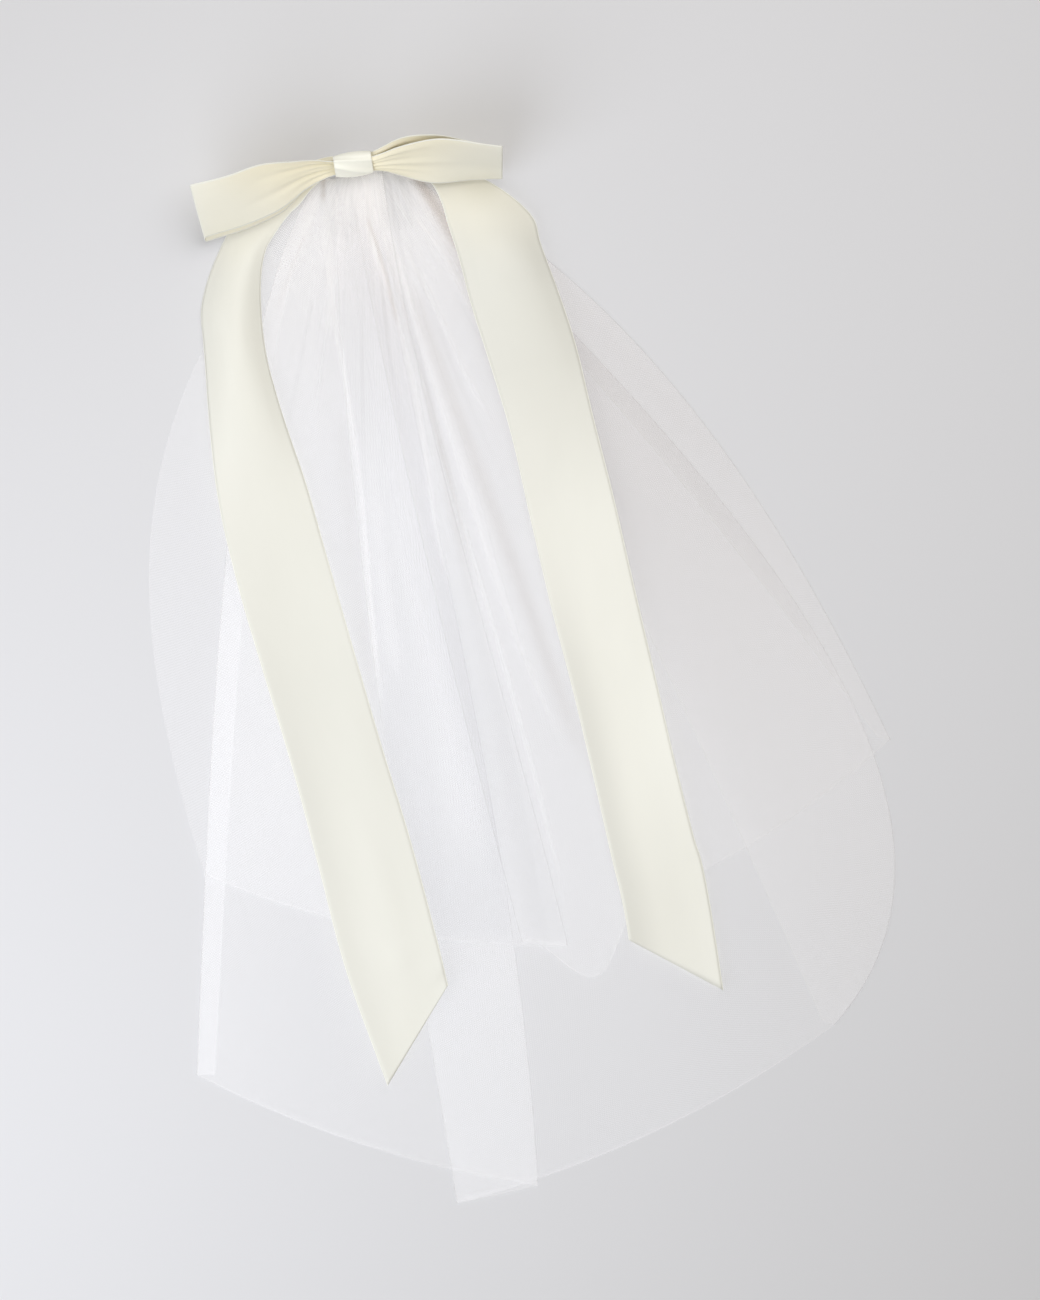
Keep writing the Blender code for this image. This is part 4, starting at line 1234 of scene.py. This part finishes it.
def tail_painted_dimming(dims, run):
    """Painted shade on a tail at every point, with more on its left edge further down."""
    across = np.linspace(0.0, 1.0, run.shape[1])[None, :]
    shaded = dims.left_edge * smoothstep((run - 0.5) / 0.25) * (1.0 - smoothstep(across / 0.45))
    return np.interp(run, dims.shares, dims.amounts) + shaded


def loop_painted_dimming(shape, amount):
    """Painted shade on a loop: most over the upper part of its front layer, least along its lower rim.
    """
    place = np.linspace(-1.0, 1.0, shape[0])[:, None]
    across = np.linspace(0.0, 1.0, shape[1])[None, :]
    upper = smoothstep((across - 0.22) / 0.3) * (1.0 - 0.6 * smoothstep((across - 0.85) / 0.15))
    out = smoothstep((1.0 - np.abs(place)) / 0.3)
    return np.where(place < 0.0, amount * upper * out, LOOP_BACK_PAINTED_DIMMING)


def loop_painted_shade(shape):
    """Warm painted shade on a loop: most near the knot, towards the upper rim and between its layers.
    """
    place = np.linspace(-1.0, 1.0, shape[0])[:, None]
    across = np.linspace(0.0, 1.0, shape[1])[None, :]
    from_knot = 1.0 - np.abs(place)
    outside = 1.0 - 0.65 * smoothstep((from_knot - 0.12 - 0.25 * across) / 0.5)
    outside = outside - 0.35 * smoothstep((from_knot - 0.75) / 0.25)
    return LOOP_PAINTED_SHADE * np.where(place < 0.0, outside, 0.5 + 0.5 * outside)


class VEIL_OT_tails(bpy.types.Operator):
    """Build both tails of the bow"""
    bl_idname = "veil.tails"
    bl_label = "Ribbon tails"
    bl_options = {"REGISTER", "UNDO"}

    def execute(self, context):
        settings = context.scene.veil_satin
        for tail in TAILS:
            grid = tail_grid(tail.table)
            run = np.linspace(0.0, 1.0, len(grid))[:, None] * np.ones(grid.shape[1])
            made = ribbon_object(tail.name, grid, RIBBON_WIDTH, settings, 1.0, tail_painted_shade(run),
                                 tail_painted_dimming(tail.dims, run))
            made.visible_shadow = False
            settle_in(made, (tail.node,))
        return {"FINISHED"}


class VEIL_OT_loops(bpy.types.Operator):
    """Build both loops of the bow"""
    bl_idname = "veil.loops"
    bl_label = "Bow loops"
    bl_options = {"REGISTER", "UNDO"}

    def execute(self, context):
        settings = context.scene.veil_satin
        for loop in LOOPS:
            grid = pleated(loop_grid(loop.table), loop.pleats)
            made = ribbon_object(loop.name, grid, RIBBON_WIDTH, settings, loop.tone,
                                 loop_painted_shade(LOOP_FINE), loop_painted_dimming(LOOP_FINE, loop.dim))
            settle_in(made, (loop.node,))
        return {"FINISHED"}


class VEIL_OT_knot(bpy.types.Operator):
    """Build the band round the middle of the bow"""
    bl_idname = "veil.knot"
    bl_label = "Bow knot"
    bl_options = {"REGISTER", "UNDO"}

    def execute(self, context):
        settings = context.scene.veil_satin
        # Warm painted shade, even over the whole band
        warmth = np.full(KNOT_FINE, KNOT_PAINTED_SHADE)
        band = ribbon_object("bow_knot_band", knot_grid(), KNOT_BAND * MM, settings, KNOT_PAINTED_HIGHLIGHT, warmth,
                             np.zeros(KNOT_FINE), closed=True)
        settle_in(band, ("bow_knot",))
        return {"FINISHED"}


def comb_place(along, down, height):
    """Plan position of a point given along the comb's bar, towards its teeth, and up."""
    x = COMB_CENTRE[0] + along * cos(GATHER_TILT) + down * sin(GATHER_TILT)
    y = COMB_CENTRE[1] + along * sin(GATHER_TILT) - down * cos(GATHER_TILT)
    return x, y, height


def ringed_mesh(name, points, sides):
    """Closed mesh through rings of points in millimetres, smooth and with its faces outwards."""
    faces = []
    last = len(points) - sides
    for start in range(0, last, sides):
        for side in range(sides):
            beside = (side + 1) % sides
            faces.append((start + side, start + beside, start + beside + sides, start + side + sides))
    faces.append(tuple(range(sides - 1, -1, -1)))
    faces.append(tuple(range(last, last + sides)))
    mesh = bpy.data.meshes.new(name)
    mesh.from_pydata(to_frame(points).tolist(), [], faces)
    merge_doubles(mesh, 0.000001, face_outward=True)
    mesh.shade_smooth()
    mesh.set_sharp_from_angle(angle=radians(50))
    return mesh


def tooth_mesh(name):
    """One tooth of the comb, closed at both ends, about the comb's middle."""
    points = []
    for row in TOOTH_ROWS:
        for side in range(TOOTH_SIDES):
            turn = 2.0 * pi * side / TOOTH_SIDES
            points.append(comb_place(row.half_width * cos(turn), row.down,
                                     row.middle + row.half_thickness * sin(turn)))
    return ringed_mesh(name, points, TOOTH_SIDES)


class GeometryTree(Tree):
    """Geometry Nodes tree with named inputs, used once and made a plain mesh."""

    def __init__(self, name, sizes):
        self.group = bpy.data.node_groups.new(name, "GeometryNodeTree")
        super().__init__(self.group)
        face = self.group.interface
        face.new_socket("Geometry", in_out="INPUT", socket_type="NodeSocketGeometry")
        for size, kind in sizes:
            face.new_socket(size, in_out="INPUT", socket_type=kind)
        face.new_socket("Geometry", in_out="OUTPUT", socket_type="NodeSocketGeometry")
        self.start = self.add("NodeGroupInput").outputs
        self.end = self.add("NodeGroupOutput").inputs

    def close(self, geometry, material):
        """End the tree in realized instances of one material."""
        real = self.add("GeometryNodeRealizeInstances", {0: geometry}).outputs[0]
        named = self.add("GeometryNodeSetMaterial", {"Geometry": real, "Material": material})
        self.put(self.end[0], named.outputs[0])

    def plain_object(self, name, mesh, values):
        """Run the tree on a mesh with its named inputs, and keep the result as a plain mesh."""
        made = bpy.data.objects.new(name, mesh)
        bpy.context.scene.collection.objects.link(made)
        modifier = made.modifiers.new("Build", "NODES")
        modifier.node_group = self.group
        for item in self.group.interface.items_tree:
            if item.in_out == "INPUT" and item.name in values:
                modifier[item.identifier] = values[item.name]
        depsgraph = bpy.context.evaluated_depsgraph_get()
        result = bpy.data.meshes.new_from_object(made.evaluated_get(depsgraph), depsgraph=depsgraph)
        made.modifiers.remove(modifier)
        made.data = result
        return made


def bar_mesh(name, settings):
    """Bar of the comb: a rounded strip along all of its teeth."""
    half = (settings.teeth - 1) * settings.pitch / MM / 2.0 + BAR_OVERHANG
    upper, lower = BAR_SPAN
    ring = []
    for step in range(BAR_SIDES):
        turn = 2.0 * pi * (step + 0.5) / BAR_SIDES
        down = (upper + lower) / 2.0 + (lower - upper) / 2.0 * flattened(cos(turn), 0.5)
        ring.append((down, BAR_HALF_THICKNESS * flattened(sin(turn), 0.6)))
    sections = ((-half, BAR_END_SHARE), (-half + BAR_END, 1.0), (half - BAR_END, 1.0),
                (half, BAR_END_SHARE))
    points = []
    for place, share in sections:
        for down, rise in ring:
            points.append(comb_place(place, down * share, BAR_MIDDLE + rise * share))
    return ringed_mesh(name, points, BAR_SIDES)


class VEIL_OT_comb(bpy.types.Operator):
    """Build the clear comb: Geometry Nodes repeat its teeth along the bar"""
    bl_idname = "veil.comb"
    bl_label = "Hair comb"
    bl_options = {"REGISTER", "UNDO"}

    def execute(self, context):
        settings = context.scene.veil_comb
        tree = GeometryTree("Comb teeth", (("Teeth", "NodeSocketInt"), ("Pitch", "NodeSocketFloat"),
                                           ("Bar", "NodeSocketObject")))
        heading = Vector((cos(GATHER_TILT), sin(GATHER_TILT), 0.0))
        step = tree.add("ShaderNodeVectorMath", {0: tuple(heading), "Scale": tree.start["Pitch"]},
                        operation="SCALE").outputs[0]
        gaps = tree.maths("SUBTRACT", tree.start["Teeth"], 1.0)
        back = tree.maths("MULTIPLY", gaps, -0.5)
        first = tree.add("ShaderNodeVectorMath", {0: step, "Scale": back}, operation="SCALE")
        line = tree.add("GeometryNodeMeshLine", {"Count": tree.start["Teeth"],
                                                 "Start Location": first.outputs[0],
                                                 "Offset": step}).outputs[0]
        teeth = tree.add("GeometryNodeInstanceOnPoints", {"Points": line,
                                                          "Instance": tree.start["Geometry"]})
        bar = tree.add("GeometryNodeObjectInfo", {"Object": tree.start["Bar"]})
        joined = tree.add("GeometryNodeJoinGeometry")
        tree.links.new(teeth.outputs[0], joined.inputs[0])
        tree.links.new(bar.outputs["Geometry"], joined.inputs[0])
        tree.close(joined.outputs[0], comb_material("comb_clear_plastic"))
        bar_object = bpy.data.objects.new("comb_bar_guide", bar_mesh("comb_bar", settings))
        bpy.context.scene.collection.objects.link(bar_object)
        values = {"Teeth": settings.teeth, "Pitch": settings.pitch, "Bar": bar_object}
        comb = tree.plain_object("hair_comb", tooth_mesh("comb_tooth"), values)
        bpy.data.objects.remove(bar_object)
        settle_in(comb, ("comb",))
        return {"FINISHED"}


def edge_lines(name, lines):
    """Mesh of bare edges along lines of points in millimetres."""
    points = []
    edges = []
    for line in lines:
        start = len(points)
        points += to_frame(line).tolist()
        edges += [(start + step, start + step + 1) for step in range(len(line) - 1)]
    mesh = bpy.data.meshes.new(name)
    mesh.from_pydata(points, edges, [])
    return mesh


def corded(name, lines, radius, sides, material):
    """Threads along lines, made by Geometry Nodes."""
    sizes = (("Radius", "NodeSocketFloat"), ("Sides", "NodeSocketInt"))
    tree = GeometryTree("Thread along lines", sizes)
    curve = tree.add("GeometryNodeMeshToCurve", {0: tree.start["Geometry"]}).outputs[0]
    ring = tree.add("GeometryNodeCurvePrimitiveCircle", {"Resolution": tree.start["Sides"],
                                                         "Radius": tree.start["Radius"]})
    tube = tree.add("GeometryNodeCurveToMesh", {"Curve": curve, "Profile Curve": ring.outputs[0],
                                                "Fill Caps": True}).outputs[0]
    smooth = tree.add("GeometryNodeSetShadeSmooth", {0: tube}).outputs[0]
    tree.close(smooth, material)
    mesh = edge_lines(name + "_lines", lines)
    return tree.plain_object(name, mesh, {"Radius": radius, "Sides": sides})


class VEIL_OT_selvedges(bpy.types.Operator):
    """Run the woven edge along both sides of every ribbon with Geometry Nodes"""
    bl_idname = "veil.selvedges"
    bl_label = "Ribbon edges"
    bl_options = {"REGISTER", "UNDO"}

    def execute(self, context):
        settings = context.scene.veil_satin
        grids = [tail_grid(tail.table) for tail in TAILS]
        grids += [pleated(loop_grid(loop.table), loop.pleats) for loop in LOOPS]
        lines = [grid[:, side] for grid in grids for side in (0, -1)]
        # Lighter than the satin: painted light that evens out the shade on the thin cord's round sides
        material = thread_material("selvedge_thread", shade(settings.colour, 1.03),
                                   shade(settings.colour, 1.1))
        edges = corded("ribbon_edges", lines, settings.selvedge / 2.0, 6, material)
        settle_in(edges, ())
        return {"FINISHED"}


class VEIL_OT_binding(bpy.types.Operator):
    """Wrap the sewing thread round the comb's bar, one turn in each gap between teeth"""
    bl_idname = "veil.binding"
    bl_label = "Comb binding"
    bl_options = {"REGISTER", "UNDO"}

    def execute(self, context):
        settings = context.scene.veil_comb
        pitch = settings.pitch / MM
        line = []
        turns = settings.teeth - 1
        for step in range(turns * BINDING_STEPS + 1):
            turn = 2.0 * pi * step / BINDING_STEPS
            along = (step / BINDING_STEPS - turns / 2.0) * pitch
            line.append(comb_place(along, BINDING_REACH * cos(turn),
                                   BINDING_MIDDLE + BINDING_RISE * sin(turn)))
        wraps = corded("comb_binding", [np.array(line)], settings.thread / 2.0, 5,
                       thread_material("binding_thread", (0.80, 0.79, 0.75, 1), (0.93, 0.92, 0.88, 1)))
        settle_in(wraps, ())
        return {"FINISHED"}


class VEIL_OT_stage(bpy.types.Operator):
    """Set the table, the light and the camera"""
    bl_idname = "veil.stage"
    bl_label = "Table, light and camera"
    bl_options = {"REGISTER", "UNDO"}

    def execute(self, context):
        settings = context.scene.veil_stage
        lay_floor(settings)
        light_room(context.scene, settings)
        place_camera(context.scene)
        context.scene.view_settings.view_transform = "Standard"
        return {"FINISHED"}


def lay_floor(settings):
    """Pale table top under the veil."""
    half = FLOOR_SIZE / 2.0
    mesh = bpy.data.meshes.new("table_top")
    corners = [(-half, -half, 0.0), (half, -half, 0.0), (half, half, 0.0), (-half, half, 0.0)]
    mesh.from_pydata(corners, [], [(0, 1, 2, 3)])
    mesh.materials.append(floor_material("table_paint", settings.floor))
    floor = bpy.data.objects.new("table_top", mesh)
    bpy.context.scene.collection.objects.link(floor)


# Soft lights: the window at the lower left and the weaker fill, both turned to the veil's middle
Lamp = namedtuple("Lamp", "place size colour")
WINDOW = Lamp((-0.48, -0.29, 0.59), 0.9, (0.875, 0.912, 1.0))
FILL = Lamp((0.1, 0.55, 1.1), 0.8, (0.98, 0.968, 1.0))
AMBIENT_COLOUR = (1.0, 0.97, 0.91, 1.0)


def soft_lamp(name, lamp, power):
    """Round soft light that no camera sees."""
    light = bpy.data.lights.new(name, "AREA")
    light.shape = "DISK"
    light.size = lamp.size
    light.energy = power
    light.color = lamp.colour
    placed = bpy.data.objects.new(name, light)
    placed.location = lamp.place
    placed.rotation_mode = "QUATERNION"
    placed.rotation_quaternion = (-Vector(lamp.place)).to_track_quat("-Z", "Y")
    placed.visible_camera = False
    bpy.context.scene.collection.objects.link(placed)


def light_room(scene, settings):
    """Window, fill and even light from the room."""
    soft_lamp("window", WINDOW, settings.key_power)
    soft_lamp("fill", FILL, settings.fill_power)
    world = bpy.data.worlds.new("room")
    world.use_nodes = True
    background = world.node_tree.nodes["Background"]
    background.inputs["Color"].default_value = AMBIENT_COLOUR
    background.inputs["Strength"].default_value = settings.ambient
    scene.world = world


def place_camera(scene):
    """Camera straight above, framed as the photograph."""
    lens = bpy.data.cameras.new("camera")
    height = PHOTO_SIZE[1] * PIXEL * MM
    lens.sensor_width = SENSOR
    lens.lens = SENSOR * CAMERA_HEIGHT / height
    lens.clip_end = 100.0
    camera = bpy.data.objects.new("camera", lens)
    middle = ((PHOTO_SIZE[0] / 2.0 - PLAN_ORIGIN_PIXEL[0]) * PIXEL,
              (PLAN_ORIGIN_PIXEL[1] - PHOTO_SIZE[1] / 2.0) * PIXEL, 0.0)
    camera.location = Vector(to_frame(middle)) + Vector((0.0, 0.0, CAMERA_HEIGHT))
    scene.collection.objects.link(camera)
    scene.camera = camera


class VEIL_PT_panel(bpy.types.Panel):
    """Veil tools in the sidebar"""
    bl_idname = "VEIL_PT_panel"
    bl_label = "Bridal veil"
    bl_space_type = "VIEW_3D"
    bl_region_type = "UI"
    bl_category = "Veil"

    def draw(self, context):
        for title, group, operators in PANEL_ROWS:
            box = self.layout.box()
            box.label(text=title)
            settings = getattr(context.scene, group)
            for name in settings.bl_rna.properties.keys():
                if name not in ("rna_type", "name"):
                    box.prop(settings, name)
            for operator in operators:
                box.operator(operator.bl_idname)


PANEL_ROWS = (
    ("Tulle", "veil_tulle", (VEIL_OT_tiers,)),
    ("Ribbon", "veil_satin", (VEIL_OT_tails, VEIL_OT_loops, VEIL_OT_knot, VEIL_OT_selvedges)),
    ("Comb", "veil_comb", (VEIL_OT_comb, VEIL_OT_binding)),
    ("Stage", "veil_stage", (VEIL_OT_stage,)),
)
SETTINGS = {
    "veil_tulle": TulleSettings,
    "veil_satin": SatinSettings,
    "veil_comb": CombSettings,
    "veil_stage": StageSettings,
}
CLASSES = (*SETTINGS.values(), *(made for row in PANEL_ROWS for made in row[2]), VEIL_PT_panel)


def register():
    """Add the settings, operators and panel to Blender."""
    for made in CLASSES:
        bpy.utils.register_class(made)
    for name, group in SETTINGS.items():
        setattr(bpy.types.Scene, name, PointerProperty(type=group))


def unregister():
    """Take the settings, operators and panel out of Blender."""
    for name in SETTINGS:
        delattr(bpy.types.Scene, name)
    for made in reversed(CLASSES):
        bpy.utils.unregister_class(made)


def main():
    """Register the add-on, and build the veil and its stage."""
    register()
    bpy.ops.veil.tiers()
    bpy.ops.veil.comb()
    bpy.ops.veil.binding()
    bpy.ops.veil.tails()
    bpy.ops.veil.knot()
    bpy.ops.veil.loops()
    bpy.ops.veil.selvedges()
    bpy.ops.veil.stage()


if __name__ == "__main__":
    main()
